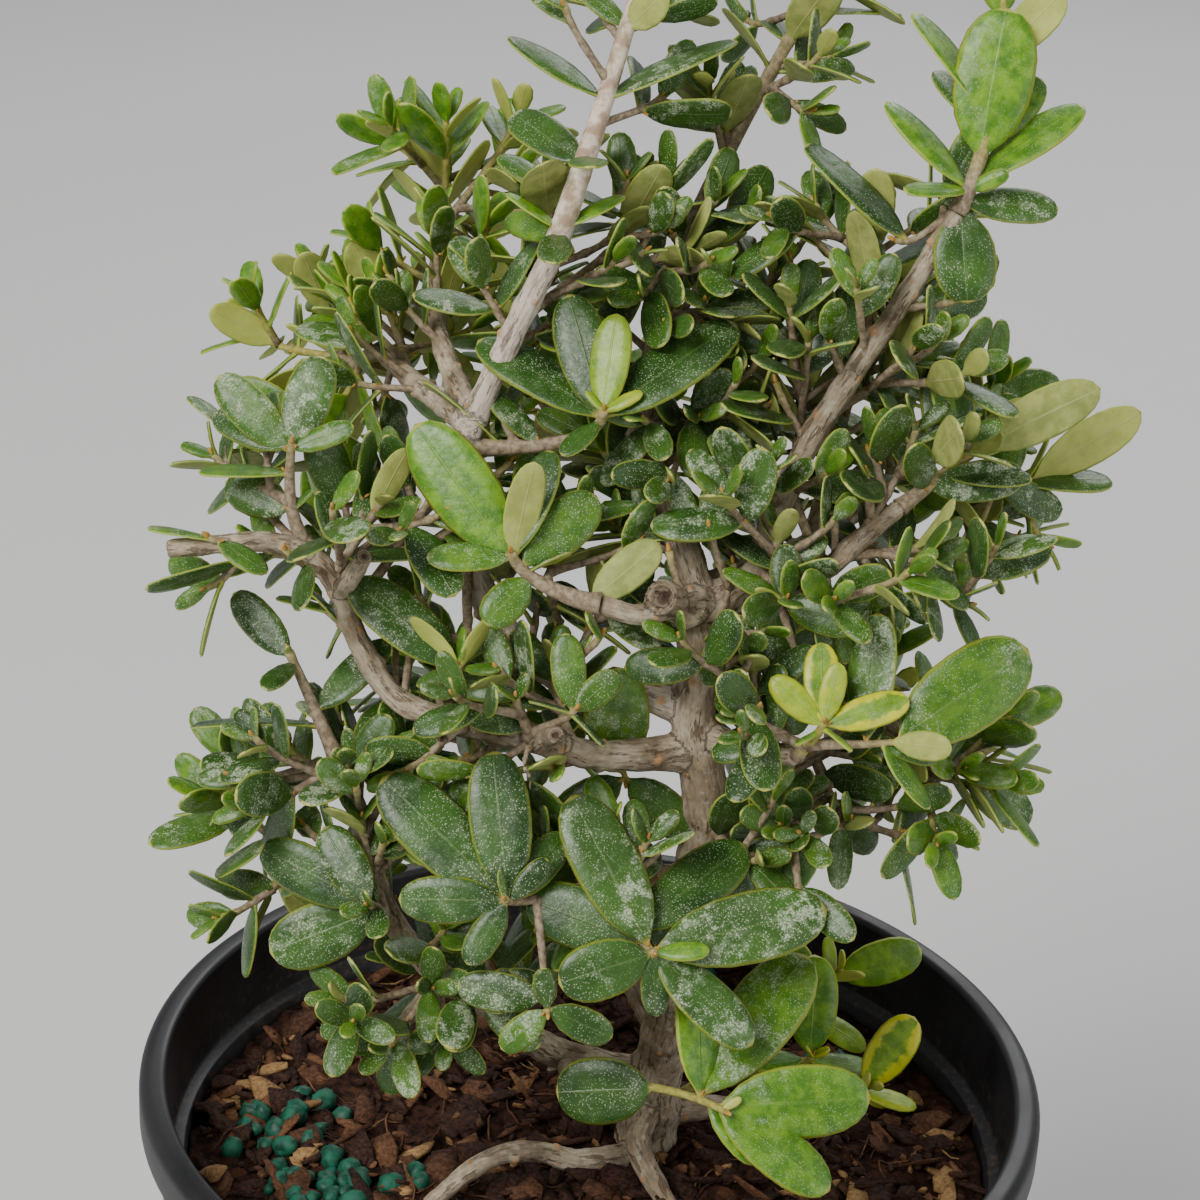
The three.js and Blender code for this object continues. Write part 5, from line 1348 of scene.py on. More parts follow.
    rough = n.ramp(fine, 0.2, 0.8, 0.28, 0.44)
    rough = n.math("ADD", rough, n.times(n.math("MAXIMUM", blotch, dots), 0.3), clamp=True)
    rough = n.math("ADD", rough, n.times(under, 0.25), clamp=True)
    rough = n.math("ADD", rough, n.times(kind, 0.3), clamp=True)
    relief = n.math("SUBTRACT", n.times(fine, 0.7), n.times(rib, 0.5))
    return n.finish(colour, rough, relief, 0.00014, 0.8)


def bark_material():
    """Older wood.

    "wood" holds whether a point is on a sawn face, its share of that face's radius, and how pale the limb
    is. "grain" is the place in a space that is drawn out along the limb, and "mark" holds the leaf scars.
    """
    n = Nodes("olive_bark", Specular_IOR_Level=0.22)
    place = n.place()
    cut, ring, pale = n.values("wood")
    scar = n.values("mark")[0]
    grain_place = n.node("ShaderNodeAttribute", attribute_name="grain").outputs["Vector"]
    grain = n.noise(grain_place, 1500, 3, 0.62)
    cracks = n.noise(grain_place, 700, 3, 0.7)
    broad = n.noise(place, 150, 3)
    base = n.shades(broad, 0.32, 0.68, (134, 119, 98), (188, 174, 150))
    base = n.mix(pale, base, linear(204, 190, 176))
    base = n.mix(n.ramp(grain, 0.42, 0.7, 0, 0.55), base, linear(100, 84, 66))
    crack = n.ramp(cracks, 0.56, 0.63)
    base = n.mix(n.times(crack, 0.6), base, linear(84, 66, 48))
    lichen = n.ramp(n.noise(place, 700, 4), 0.54, 0.7, 0, 0.35)
    base = n.mix(lichen, base, linear(204, 198, 184))
    spots = n.ramp(n.cells(n.stretched(grain_place, 3.2, 1, 1), 420), 0.09, 0.16, 1, 0)
    spots = n.times(spots, n.ramp(n.noise(place, 120, 2), 0.4, 0.55))
    rusty = n.math("MAXIMUM", n.times(spots, 0.8), n.ramp(scar, 0.45, 0.9, 0, 0.75))
    base = n.mix(rusty, base, linear(176, 134, 92))
    wobble = n.math("ADD", ring, n.times(n.noise(place, 900, 3), 0.25))
    rings = n.math("SINE", n.times(wobble, 24))
    face = n.mix(n.ramp(rings, -0.6, 0.9, 0, 0.6), linear(118, 104, 86), linear(164, 150, 130))
    face = n.mix(n.ramp(cracks, 0.5, 0.62, 0, 0.7), face, linear(70, 54, 42))
    face = n.mix(n.ramp(ring, 0.1, 0.75, 1, 0), face, linear(62, 48, 38))
    colour = n.mix(cut, base, face)
    rough = n.ramp(grain, 0.2, 0.8, 0.68, 0.92)
    relief = n.math("SUBTRACT", n.times(grain, 0.8), n.times(crack, 0.7))
    return n.finish(colour, rough, relief, 0.00035, 1)


def plastic_material():
    n = Nodes("black_plastic", Specular_IOR_Level=0.5)
    place = n.place()
    cloud = n.noise(place, 40, 4)
    grain = n.noise(place, 1800, 2)
    scuff = n.ramp(n.noise(n.stretched(place, 1, 1, 6), 260, 5, 0.7), 0.6, 0.78)
    colour = n.shades(cloud, 0.3, 0.7, (27, 27, 29), (38, 38, 40))
    colour = n.mix(n.times(scuff, 0.3), colour, linear(84, 82, 78))
    split = n.node("ShaderNodeSeparateXYZ")
    n.put(split.inputs[0], place)
    across = n.node("ShaderNodeVectorMath", operation="LENGTH")
    n.put(across.inputs[0], n.stretched(place, 1, 1, 0))
    within = n.ramp(across.outputs["Value"], 0.0766, 0.0778, 1, 0)
    inner = n.times(within, n.ramp(split.outputs[2], 0.139, 0.143))
    dust = n.ramp(n.noise(place, 600, 4, 0.7), 0.48, 0.7)
    colour = n.mix(n.times(n.times(inner, dust), 0.5), colour, linear(96, 74, 58))
    rough = n.ramp(cloud, 0.3, 0.7, 0.42, 0.56)
    rough = n.math("ADD", rough, n.times(scuff, 0.2), clamp=True)
    return n.finish(colour, rough, grain, 0.00005, 0.5)


def compost_material():
    n = Nodes("bark_compost", 0.95, Specular_IOR_Level=0.15)
    place = n.place()
    lumps = n.noise(place, 420, 5, 0.7)
    chips = n.cells(place, 380, "Color")
    split = n.node("ShaderNodeSeparateColor")
    n.put(split.inputs[0], chips)
    colour = n.shades(lumps, 0.35, 0.65, (30, 21, 18), (68, 46, 37))
    colour = n.mix(n.ramp(split.outputs[0], 0.75, 1, 0, 0.5), colour, linear(100, 66, 46))
    return n.finish(colour, None, lumps, 0.0012, 1)


def chip_material():
    """Loose bark and fibre. "look" holds the colour's place from dark to orange, its chance and its kind."""
    n = Nodes("bark_chips", 0.9, Specular_IOR_Level=0.2)
    place = n.place()
    shade = n.values("look")[0]
    grain = n.noise(n.stretched(place, 1, 1, 3), 900, 4, 0.65)
    dark = n.shades(grain, 0.3, 0.7, (36, 26, 23), (76, 54, 45))
    warm = n.shades(grain, 0.3, 0.7, (84, 58, 43), (130, 92, 66))
    straw = n.shades(grain, 0.3, 0.7, (128, 96, 62), (176, 142, 98))
    colour = n.mix(n.ramp(shade, 0.5, 0.9), dark, warm)
    colour = n.mix(n.ramp(shade, 0.88, 0.98), colour, straw)
    return n.finish(colour, None, grain, 0.0005, 1)


def granule_material():
    n = Nodes("green_granules", 0.45, Specular_IOR_Level=0.5)
    place = n.place()
    cloud = n.noise(place, 500, 4)
    colour = n.shades(cloud, 0.3, 0.7, (4, 60, 46), (14, 98, 74))
    dust = n.ramp(n.noise(place, 1300, 3), 0.58, 0.7, 0, 0.5)
    colour = n.mix(dust, colour, linear(70, 90, 70))
    return n.finish(colour, n.ramp(cloud, 0.3, 0.7, 0.5, 0.75), cloud, 0.0003, 0.6)


def floor_material():
    n = Nodes("pale_floor", 0.85, Specular_IOR_Level=0.2)
    cloud = n.noise(n.place(), 3, 3)
    return n.finish(n.mix(cloud, linear(206, 206, 205), linear(212, 212, 211)))


# Leaves and sprays

# The mesh of a leaf that is longer than this: rows of points from foot to tip, columns from edge to edge
LEAF_MESHES = [
    (13, [0, 0.04, 0.09, 0.16, 0.27, 0.41, 0.56, 0.7, 0.82, 0.91, 0.965, 1], [-0.88, -0.45, 0, 0.45, 0.88]),
    (8, [0, 0.05, 0.13, 0.28, 0.5, 0.72, 0.88, 0.96, 1], [-0.85, -0.4, 0, 0.4, 0.85]),
    (0, [0, 0.1, 0.3, 0.6, 0.86, 0.96, 1], [-0.7, 0, 0.7]),
]

# How a blade folds along its rib, rolls at its edges, twists, waves and bends, at least and by draws,
# half its thickness at the margin and what its middle and its stalk add, and the blunt tip
FORM = dict(
    fold=0.05, folds=0.14, roll=0.1, rolls=0.1, twist=16, wave=0.012, bend=0.05, thick=0.2, middle=0.12,
    stalk_end=0.1, stalk=1.6, tip=0.955, blunt=0.3,
)

# The size of end buds and of buds between leaf and twig, and the leaves that carry the latter
BUD = dict(end=1.1, axil=0.75, chance=0.55, least=9, broad=0.42, deep=0.34)

# Twigs: the step along them and the sides round them, coarser for fine ones, how far they thin, the
# swelling at each pair of leaves and at the foot, and the unevenness
TWIG = dict(
    step=1.1, sides=10, fine_step=1.4, fine_sides=8, thin=0.5, node=0.22, node_reach=0.8, collar=0.3,
    collar_reach=1.6, uneven=0.06,
)


def add_leaf(skin, leaf):
    """A closed thin blade: an upper and a lower sheet of points that share the margin."""
    stations, columns = next(mesh[1:] for mesh in LEAF_MESHES if leaf["length"] > mesh[0])
    length, width, chance = leaf["length"], leaf["width"], leaf["chance"]
    draw = draws(int(chance * 1e6) + 17)
    fold = FORM["fold"] + FORM["folds"] * draw()
    rolled = FORM["roll"] + FORM["rolls"] * draw()
    twist = math.radians((draw() - 0.5) * FORM["twist"])
    wave = FORM["wave"] * length * draw()
    phase = 6 * draw()
    bend = (draw() - 0.4) * FORM["bend"]

    def point(s, q, lift):
        half = float(half_width(width, np.array(s)))
        if s > FORM["tip"]:
            half = max(half, FORM["blunt"] * (1 - s) / (1 - FORM["tip"]))
        if s == 1:
            half = 0
        turn = twist * s
        rise = half * (fold * abs(q) - rolled * abs(q) ** 4) + wave * q * abs(q) * math.sin(7 * s + phase)
        rise += bend * length * s * s - BLADE["sag"] * length * s * s + lift
        side = half * q
        return (
            leaf["foot"]
            + leaf["direction"] * length * s
            + leaf["across"] * (side * math.cos(turn) - rise * math.sin(turn) * 0.3)
            + leaf["normal"] * (rise + side * math.sin(turn))
        )

    points, blade = [], []
    rows = len(stations)
    for under in (0, 1):
        for s in stations[:-1]:
            for q in columns:
                thick = FORM["thick"] + FORM["middle"] * (1 - q * q)
                thick *= 1 if s > FORM["stalk_end"] else FORM["stalk"]
                points.append(point(s, q, -thick if under else thick))
                blade.append((s, q, under))
    sheet = (rows - 1) * len(columns)
    edge = len(points)
    for q in (-1, 1):
        for s in stations[:-1]:
            points.append(point(s, q, 0))
            blade.append((s, q, 0.5))
    tip = len(points)
    points.append(point(1, 0, 0))
    blade.append((1, 0, 0.5))

    def at(under, i, j):
        if j < 0:
            return edge + i
        if j == len(columns):
            return edge + rows - 1 + i
        return under * sheet + i * len(columns) + j

    faces = []
    for under in (0, 1):
        for i in range(rows - 1):
            for j in range(-1, len(columns)):
                a, b = at(under, i, j), at(under, i, j + 1)
                if i == rows - 2:
                    face = (a, b, tip)
                else:
                    face = (a, b, at(under, i + 1, j + 1), at(under, i + 1, j))
                faces.append(face[::-1] if under else face)
    root = [at(0, 0, j) for j in range(-1, len(columns) + 1)]
    root += [at(1, 0, j) for j in range(len(columns) - 1, -1, -1)]
    faces.append(tuple(root[::-1]))
    look = (leaf["tone"], chance, 0)
    skin.add(points, faces, blade=np.array(blade), look=look)


def add_bud(skin, foot, direction, size, tone, chance):
    direction = unit(direction)
    side = square_to(direction, np.array([0.3, 0.5, 0.81]))
    other = np.cross(direction, side)
    axes = [side * size * BUD["broad"], other * size * BUD["deep"], direction * size]
    points, faces = ball(foot + direction * size * 0.5, axes)
    skin.add(points, faces, blade=(0.5, 0.5, 0), look=(tone, chance, 2))


def add_shoot(skin, shoot):
    curve = shoot["curve"]
    kind = "fine_" if shoot["rank"] == "fine" else ""
    sides = TWIG[kind + "sides"]
    points, places = even_points(curve, TWIG[kind + "step"])
    thick, thin = shoot["radius"], max(TWIG["thin"], 0.5 * shoot["radius"])
    radii = thick + (thin - thick) * places
    total = arc_lengths(curve)[-1]
    for back in PAIR_BACK[:shoot.get("pairs", 0)]:
        away = places * total - (total - back)
        radii = radii + TWIG["node"] * np.exp(-(away / TWIG["node_reach"]) ** 2)
    radii = radii + TWIG["collar"] * thick * np.exp(-places * total / TWIG["collar_reach"])
    radii = radii * (1 + np.array([TWIG["uneven"] * noise.noise(Vector(p * 0.9)) for p in points]))
    ring, faces = tube(points, radii, sides)
    tone = shoot.get("tone", 0)
    fresh = np.repeat(np.clip(tone * np.minimum(1, 3 * places) + 0.35 * places**2, 0, 1), sides)
    pale = 1.0 if shoot["spray"] == "leader_top" and shoot["rank"] == "main" else 0.5
    look = np.stack([fresh, np.full(len(ring), pale), np.full(len(ring), 1.0)], 1)
    skin.add(ring, faces, blade=(0.5, 0.5, 0), look=look)
    add_bud(skin, curve.point(1), curve.tangent(1), BUD["end"], tone, 0.5)


leaf_look = leaf_material()
for name in SPRAYS:
    skin = Skin("blade", "look")
    for shoot in growth.shoots:
        if shoot["spray"] == name:
            add_shoot(skin, shoot)
    for leaf in growth.leaves:
        if leaf["spray"] == name:
            add_leaf(skin, leaf)
            if leaf["chance"] > BUD["chance"] and leaf["length"] > BUD["least"]:
                axil = leaf["foot"] + leaf["direction"] * 0.7 + leaf["normal"] * 0.35
                add_bud(skin, axil, leaf["direction"] + leaf["normal"], BUD["axil"], leaf["tone"], 0.4)
    spray = skin.make("leafy_" + name, leaf_look)
    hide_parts("spray_" + name)


# Wood: fine limbs with swollen collars and leaf scars, fused into one skin and given bark relief

# The step along a limb, the sides round it, the voxels that fuse the limbs, and a limb a little finer
# than the solids' one
STEP = 0.8
LIMB_SIDES = 24
VOXEL = 0.56
THINNER = dict(leader=0.9)

# The swelling at a limb's foot and those along it, with their reach, and the least gap between two
SWELL = dict(foot=0.3, foot_reach=3, knot=0.08, knot_reach=1.5, first=9, gap=7.5, more=4)

# Leaf scars: where the first pair lies, the least gap to the next, the share left out, and their size
SCAR = dict(first=7, gap=6.5, more=3, missing=0.3, size=0.6, larger=0.4, sunk=0.12)

# How far the bark stands out, how deep each sawn face is hollow and how high its rim stands, as a share
BARK_RELIEF = 0.15
HOLLOW = dict(knob=1.5)
HOLLOW_LEAST = 0.3
HOLLOW_RIM = 0.22

# The dry twig that hangs from the front stub: its middle line and its radius from foot to tip
DEAD_TWIG = [
    (-12, -24, 237), (-13.6, -27, 237.6), (-14, -28.6, 235.4), (-13.2, -29.2, 233.8), (-12.8, -30, 231.6),
]
DEAD_TWIG_RADII = (0.62, 0.28)


def limb_line(name):
    """A limb's middle line at even steps, the radius at each step, and a frame that follows it."""
    radii = WOOD[name][1]
    places, shares = even_points(limb_curves[name], STEP)
    thick = np.array([along(radii, share) for share in shares]) * THINNER.get(name, 1)
    ways = np.gradient(places, axis=0)
    ways /= np.linalg.norm(ways, axis=1)[:, None]
    normals = [square_to(ways[0], np.array([0.31, 0.59, 0.74]))]
    for way in ways[1:]:
        normals.append(square_to(way, normals[-1]))
    normals = np.array(normals)
    return places, shares, thick, ways, normals, np.cross(ways, normals)


def add_limb(skin, name, line, scars):
    """A limb's tube with a collar at its foot, swellings along it, and leaf scars in opposite pairs."""
    places, shares, thick, ways = line[:4]
    total = STEP * len(places)
    if name != "trunk":
        thick = thick * (1 + SWELL["foot"] * np.exp(-shares * total / SWELL["foot_reach"]))
    draw = draws(sum(map(ord, name)))
    first = SWELL["first"] + SWELL["more"] * draw()
    for along_limb in np.arange(first, total - 3, SWELL["gap"] + SWELL["more"] * draw()):
        away = (shares * total - along_limb) / SWELL["knot_reach"]
        thick = thick * (1 + SWELL["knot"] * np.exp(-away**2))
    bumps = [0.07 * noise.noise(Vector(p * 0.16)) + 0.04 * noise.noise(Vector(p * 0.6)) for p in places]
    skin.add(*tube(places, thick * (1 + np.array(bumps)), LIMB_SIDES))
    turn = 180 * draw()
    for along_limb in np.arange(SCAR["first"], total - 4, SCAR["gap"] + SCAR["more"] * draw()):
        index = min(len(places) - 2, int(along_limb / STEP))
        turn += 90
        for side in (0, 180):
            out = turned(ways[index], turn + side)
            size = SCAR["size"] + SCAR["larger"] * draw()
            if draw() < SCAR["missing"]:
                continue
            centre = places[index] + out * (thick[index] - SCAR["sunk"])
            axes = [out * size, np.cross(ways[index], out) * size * 1.3, ways[index] * size * 0.8]
            skin.add(*ball(centre, axes, 6, 10))
            scars.append(np.append(centre, size))


def add_dead_twig(skin):
    """A dry twig that hangs from a stub, in short ringed lengths."""
    places, shares = even_points(Spline(DEAD_TWIG), 0.3)
    thick, thin = DEAD_TWIG_RADII
    rings = 0.18 * np.abs(np.sin(shares * math.pi * 5))
    skin.add(*tube(places, thick + (thin - thick) * shares + rings, 12))


def grain_map(co, lines):
    """For each point the limb that it lies on, how far along that limb, and how far aside."""
    best = np.full(len(co), np.inf)
    grain = np.zeros((len(co), 3))
    for number, (places, _, thick, ways, normals, others) in enumerate(lines.values()):
        gaps = (co**2).sum(1)[:, None] - 2 * co @ places.T + (places**2).sum(1)[None]
        index = gaps.argmin(1)
        gap = np.sqrt(np.maximum(0, gaps[np.arange(len(co)), index])) - thick[index]
        nearer = gap < best
        index, away = index[nearer], co[nearer] - places[index[nearer]]
        best[nearer] = gap[nearer]
        grain[nearer, 0] = number * 37 + (index * STEP + (away * ways[index]).sum(1)) * 0.22
        grain[nearer, 1] = (away * normals[index]).sum(1)
        grain[nearer, 2] = (away * others[index]).sum(1)
    return grain


def cut_face(name, co, normals):
    """The points on the sawn face of a stub, each one's share of the radius, and the way that it faces."""
    end = np.array(WOOD[name][0][-1], float)
    way = unit(end - limb_curves[name].point(0.9))
    radius = WOOD[name][1][-1]
    away = co - end
    height = away @ way
    share = np.linalg.norm(away - height[:, None] * way, axis=1) / radius
    cut = (np.abs(height) < 0.6) & (share < 1.15) & (normals @ way > 0.4)
    return cut, share, way


def wood_object():
    skin = Skin()
    scars = []
    lines = {name: limb_line(name) for name in WOOD}
    for name, line in lines.items():
        add_limb(skin, name, line, scars)
    add_dead_twig(skin)
    rough = skin.make("wood_rough", bark_look)
    fused = rough.modifiers.new("fuse", "REMESH")
    fused.mode = "VOXEL"
    fused.voxel_size = VOXEL * MM
    soft = rough.modifiers.new("soften", "SMOOTH")
    soft.factor = 0.5
    soft.iterations = 2
    graph = bpy.context.evaluated_depsgraph_get()
    mesh = bpy.data.meshes.new_from_object(rough.evaluated_get(graph))
    bpy.data.objects.remove(rough)
    mesh.name = "olive_wood"

    count = len(mesh.vertices)
    co = np.zeros(count * 3)
    normals = np.zeros(count * 3)
    mesh.vertices.foreach_get("co", co)
    mesh.vertices.foreach_get("normal", normals)
    co, normals = co.reshape(-1, 3) / MM, normals.reshape(-1, 3)
    grain = grain_map(co, lines)
    values = np.zeros((count, 3))
    marks = np.zeros((count, 3))
    ridges = [
        noise.noise(Vector((g[0] * 1.6, g[1] * 1.1, g[2] * 1.1))) + 0.6 * noise.noise(Vector(g * 2.6))
        for g in grain
    ]
    relief = np.array(ridges) * BARK_RELIEF
    for scar in scars:
        near = np.linalg.norm(co - scar[:3], axis=1) / scar[3]
        marks[:, 0] = np.maximum(marks[:, 0], np.clip(1.7 - near, 0, 1))
    for name in STUBS:
        cut, share, way = cut_face(name, co, normals)
        values[cut, 0] = 1
        values[cut, 1] = share[cut]
        deep = HOLLOW.get(name, HOLLOW_LEAST)
        relief[cut] *= 0.5
        hollow = deep * np.clip(1 - (share[cut] / 0.8) ** 2, 0, 1)
        rim = HOLLOW_RIM * deep * np.exp(-(((share[cut] - 0.92) / 0.14) ** 2))
        co[cut] += np.outer(rim - hollow, way)
    leader = np.array([limb_curves["leader"].point(t) for t in np.linspace(0.05, 1, 60)])
    gap = np.min(np.linalg.norm(co[:, None, :] - leader[None], axis=2), axis=1)
    values[:, 2] = np.clip((4.5 - gap) / 2, 0, 0.75)
    co = co + normals * relief[:, None]
    mesh.vertices.foreach_set("co", (co * MM).ravel())
    for key, rows in (("wood", values), ("mark", marks), ("grain", grain * MM)):
        attribute = mesh.attributes.new(key, "FLOAT_VECTOR", "POINT")
        attribute.data.foreach_set("vector", rows.astype(np.float32).ravel())
    mesh.materials.clear()
    return make_object("olive_wood", mesh, bark_look)


bark_look = bark_material()
wood = wood_object()
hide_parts("trunk")


# Pot: a turned shell with a rolled lip, drilled round its base


def arc(centre, radius, start, end, steps):
    angles = np.radians(np.linspace(start, end, steps))
    return [(centre[0] + radius * math.cos(a), centre[1] + radius * math.sin(a)) for a in angles]


def inner_wall():
    wall_top = POT["rim"] - LIP["reach"] - 1 - BAND["step"]
    low = (POT["foot"] - POT["wall"] - 1, POT["foot_ring"] + POT["floor"] + 2)
    return low, (wall_top - POT["wall"] + 0.2, BAND["ledge"])


def inner_radius(z):
    low, high = inner_wall()
    return low[0] + (high[0] - low[0]) * (z - low[1]) / (high[1] - low[1])


def pot_object():
    rim, foot, wall, height = POT["rim"], POT["foot"], POT["wall"], POT["height"]
    ring, floor = POT["foot_ring"], POT["floor"]
    band = rim - LIP["reach"]
    band_foot = band - 1
    low, high = inner_wall()
    profile = [(0, 0), (PAD["radius"], 0), (PAD["radius"] + PAD["slope"], ring)]
    profile += [(foot - 4, ring), (foot - 3.1, 0.2), (foot - 2.9, 0)]
    profile += arc((foot - 1, 1), 1, -90, 0, 5)
    for share in np.linspace(0.1, 1, 8):
        profile.append((foot + (band_foot - BAND["step"] - foot) * share, 1 + (BAND["low"] - 3) * share))
    profile += arc((band_foot - 0.6, BAND["low"] - 0.1), 0.6, -60, 0, 4)
    profile.append((band - 0.1, LIP["low"] - 0.9))
    profile += arc((rim - 1.5, LIP["low"] + 1.5), 1.5, -90, 0, 6)
    profile += arc((rim - 2.4, height - 2.4), 2.4, 0, 90, 8)
    profile += arc((band - wall + 1, height - 1.2), 1.2, 90, 180, 6)
    profile += [(band_foot - wall, BAND["ledge"] + 1.2), (band_foot - wall - 0.4, BAND["ledge"] + 0.3)]
    profile += [(high[0] + 0.3, high[1] + 0.05), (high[0], high[1] - 0.3), low]
    profile += [(foot - wall - 3, ring + floor), (PAD["radius"] + PAD["slope"], ring + floor)]
    profile += [(PAD["radius"], floor), (0, floor)]
    skin = Skin()
    points, faces = lathe(profile, POT["segments"])
    angle = np.arctan2(points[:, 1], points[:, 0])
    high_up = np.clip((points[:, 2] - 60) / 100, 0, 1)
    swell = 0.18 * np.sin(2 * angle + 0.6) + 0.1 * np.sin(5 * angle)
    points[:, :2] *= (1 + high_up * swell / 80)[:, None]
    skin.add(points, faces)
    pot = skin.make("pot_shell", plastic_look)
    drills = Skin()
    for k in range(DRAIN["count"]):
        turn = 2 * math.pi * (k + 0.5) / DRAIN["count"]
        x, y = DRAIN["ring"] * math.cos(turn), DRAIN["ring"] * math.sin(turn)
        drills.add(*tube([(x, y, 0.5), (x, y, 4), (x, y, 8)], [DRAIN["radius"]] * 3, 32))
    drill = drills.make("drills", plastic_look)
    cutter = pot.modifiers.new("drain", "BOOLEAN")
    cutter.object = drill
    cutter.solver = "EXACT"
    graph = bpy.context.evaluated_depsgraph_get()
    mesh = bpy.data.meshes.new_from_object(pot.evaluated_get(graph))
    pot.modifiers.clear()
    pot.data = mesh
    bpy.data.objects.remove(drill)
    return pot


plastic_look = plastic_material()
pot = pot_object()
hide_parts("pot")


# Compost: a rough bed, with chips, fibres and granules lying in it

# The compost's mesh: points round it and rings across its top
BED = dict(segments=150, rings=70)

# The number of chips and fibres, how far from the middle they lie, and how steeply chips tilt
LITTER = dict(chips=1500, chip_reach=72, tilt=42, fibres=420, fibre_reach=68)

# Granules: the middle, the spread and the number of each patch, and how far out the last may lie
GRANULE_PATCHES = [
    (-46, -18, 14, 34), (-32, -44, 14, 24), (-58, 4, 13, 20), (-38, -30, 26, 26),
    (-14, -52, 16, 6), (52, -28, 14, 7), (20, 40, 40, 8),
]
GRANULE_REACH = 71

# Where a granule's lumps are read in X, Y and Z. The noise module's vector starts from the clock.
LUMP_SHIFTS = (0, 31.7, 63.1)


def bed_height(x, y):
    swell = 0.6 * math.sin(0.11 * x + 1) * math.cos(0.13 * y)
    lumps = 1.6 * noise.noise(Vector((x * 0.14, y * 0.14, 3)))
    lumps += 1.3 * noise.noise(Vector((x * 0.4, y * 0.4, 8)))
    return COMPOST_TOP + swell + lumps


def compost_object():
    low_wall = POT["foot_ring"] + POT["floor"]
    low = low_wall + SEAT
    edge = inner_radius(COMPOST_TOP) - SEAT
    profile = [(0, low - POT["foot_ring"]), (PAD["radius"] - SEAT, low - POT["foot_ring"])]
    profile += [(PAD["radius"] + PAD["slope"] - SEAT, low), (POT["foot"] - POT["wall"] - 4, low)]
    profile += [(inner_radius(low_wall + 4) - SEAT, low_wall + 4), (edge - 0.2, COMPOST_TOP - 4)]
    profile += [(edge * ring / BED["rings"], COMPOST_TOP) for ring in range(BED["rings"], -1, -1)]
    points, faces = lathe(profile, BED["segments"])
    for p in points:
        if p[2] > COMPOST_TOP - 1:
            crumb = 0.35 * noise.noise(Vector((p[0] * 1.3, p[1] * 1.3, 0)))
            p[2] = bed_height(p[0], p[1]) + crumb
    skin = Skin()
    skin.add(points, faces)
    return skin.make("compost_bed", compost_material())


def chip(centre, axes, sides, draw):
    """A flat flake with an uneven outline, thinner at its edge."""
    outline = [
        (math.cos(a) * (0.7 + 0.5 * draw()), math.sin(a) * (0.7 + 0.5 * draw()))
        for a in (2 * math.pi * (k + 0.6 * draw()) / sides for k in range(sides))
    ]
    points = [(0, 0, 1), (0, 0, -1)]
    for level in (0.35, -0.35):
        points += [(x, y, level + 0.3 * (draw() - 0.5)) for x, y in outline]
    faces = []
    for k in range(sides):
        a, b = 2 + k, 2 + (k + 1) % sides
        faces += [(0, a, b), (1, b + sides, a + sides), (a, a + sides, b + sides, b)]
    return np.asarray(centre) + np.array(points) @ np.asarray(axes), faces


def tilted_axes(sizes, draw, tilt):
    spin = Matrix.Rotation(2 * math.pi * draw(), 3, "Z")
    lean = Matrix.Rotation(math.radians(tilt * (draw() * 2 - 1)), 3, "X")
    roll = Matrix.Rotation(math.radians(tilt * (draw() * 2 - 1)), 3, "Y")
    turn = np.array(spin @ lean @ roll)
    return np.array([turn[:, k] * sizes[k] for k in range(3)])


def scatter_spot(draw, reach):
    radius = reach * math.sqrt(draw())
    angle = 2 * math.pi * draw()
    return radius * math.cos(angle), radius * math.sin(angle)


def litter_object():
    draw = draws(4021)
    skin = Skin("look")
    for _ in range(LITTER["chips"]):
        x, y = scatter_spot(draw, LITTER["chip_reach"])
        large = draw() ** 2.6
        length = 1.1 + 5.4 * large
        sizes = (length, length * (0.35 + 0.4 * draw()), 0.35 + 0.5 * draw() + 0.3 * large)
        height = bed_height(x, y) + 0.25 + 0.5 * draw()
        points, faces = chip((x, y, height), tilted_axes(sizes, draw, LITTER["tilt"]), 6, draw)
        skin.add(points, faces, look=(draw(), draw(), 0))
    for _ in range(LITTER["fibres"]):
        x, y = scatter_spot(draw, LITTER["fibre_reach"])
        length = 3 + 11 * draw()
        heading = 2 * math.pi * draw()
        bow = (draw() - 0.5) * 0.6
        line = []
        for step in np.linspace(-0.5, 0.5, 9):
            turn = heading + bow * step * 2
            px, py = x + length * step * math.cos(turn), y + length * step * math.sin(turn)
            line.append((px, py, bed_height(px, py) + 0.55 + 0.6 * draw() * (0.25 - step * step)))
        radii = [0.12 + 0.16 * draw() * (1 - abs(step)) for step in np.linspace(-1, 1, 9)]
        points, faces = tube(line, radii, 6)
        skin.add(points, faces, look=(0.3 + 0.7 * draw(), draw(), 1))
    return skin.make("bark_litter", chip_material())


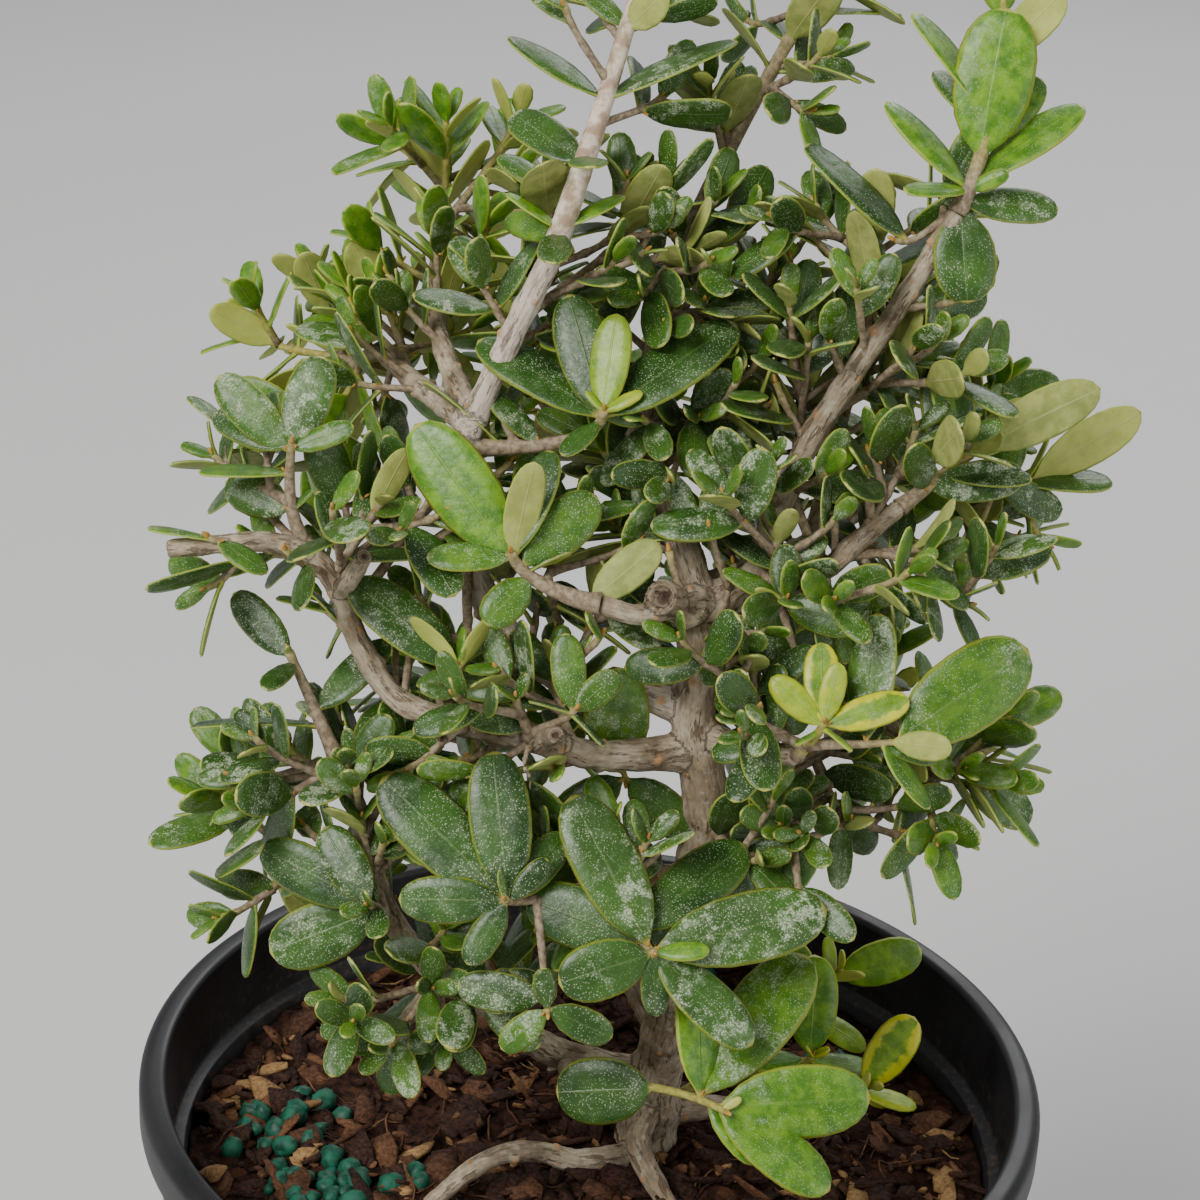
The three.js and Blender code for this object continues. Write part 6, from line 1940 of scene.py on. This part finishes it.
def granules_object():
    draw = draws(77)
    skin = Skin()
    spots = []
    for centre_x, centre_y, spread, count in GRANULE_PATCHES:
        for _ in range(count):
            x = centre_x + spread * (draw() + draw() - 1)
            y = centre_y + spread * (draw() + draw() - 1)
            if math.hypot(x, y) < GRANULE_REACH:
                spots.append((x, y))
    for x, y in spots:
        size = 1.1 + 1.3 * draw()
        axes = tilted_axes((size * (1 + 0.3 * draw()), size, size * (0.8 + 0.2 * draw())), draw, 180)
        points, faces = ball((x, y, bed_height(x, y) + size * 0.5), axes, 8, 12)
        for p in points:
            p += 0.3 * size * np.array([noise.noise(Vector(p * 0.7 + shift)) for shift in LUMP_SHIFTS])
        skin.add(points, faces)
    return skin.make("green_granules", granule_material())


bed = compost_object()
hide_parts("compost")
for piece in (litter_object(), granules_object()):
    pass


# Floor, light and camera

FLOOR_HALF = 6
LIT = (0, 0, 0.2)
SKY = dict(colour=(0.72, 0.74, 0.76, 1), strength=0.46)


def area_light(name, place, size, power, colour=(1, 1, 1)):
    """A round lamp in metres and watts that faces the tree."""
    data = bpy.data.lights.new(name, "AREA")
    data.shape = "DISK"
    data.size = size
    data.energy = power
    data.color = colour
    light = bpy.data.objects.new(name, data)
    light.location = place
    light.rotation_euler = (Vector(LIT) - Vector(place)).to_track_quat("-Z", "Y").to_euler()
    bpy.context.scene.collection.objects.link(light)


floor_mesh = bpy.data.meshes.new("floor")
corners = [(x * FLOOR_HALF, y * FLOOR_HALF, 0) for x, y in ((-1, -1), (1, -1), (1, 1), (-1, 1))]
floor_mesh.from_pydata(corners, [], [(0, 1, 2, 3)])
floor_mesh.materials.append(floor_material())
floor = bpy.data.objects.new("floor", floor_mesh)
bpy.context.scene.collection.objects.link(floor)

area_light("key", (-0.9, -1.1, 1.5), 1.1, 44, (1, 0.98, 0.945))
area_light("fill", (1.4, -0.8, 0.7), 1.4, 8)
area_light("back", (0.4, 1.4, 1.3), 1.2, 13)

world = bpy.data.worlds.new("studio")
world.use_nodes = True
sky = world.node_tree.nodes["Background"].inputs
sky["Color"].default_value = SKY["colour"]
sky["Strength"].default_value = SKY["strength"]
bpy.context.scene.world = world

camera_data = bpy.data.cameras.new("camera")
camera_data.sensor_width = 36
camera_data.sensor_fit = "HORIZONTAL"
camera_data.lens = CAMERA["lens"]
camera_data.clip_start = 0.01
camera_data.clip_end = 50
camera = bpy.data.objects.new("camera", camera_data)
axes = Matrix([Vector(axis) for axis in (RIGHT, UP, -FORWARD)]).transposed().to_4x4()
camera.matrix_world = Matrix.Translation(Vector(CAMERA["place"]) * MM) @ axes
bpy.context.scene.collection.objects.link(camera)
bpy.context.scene.camera = camera
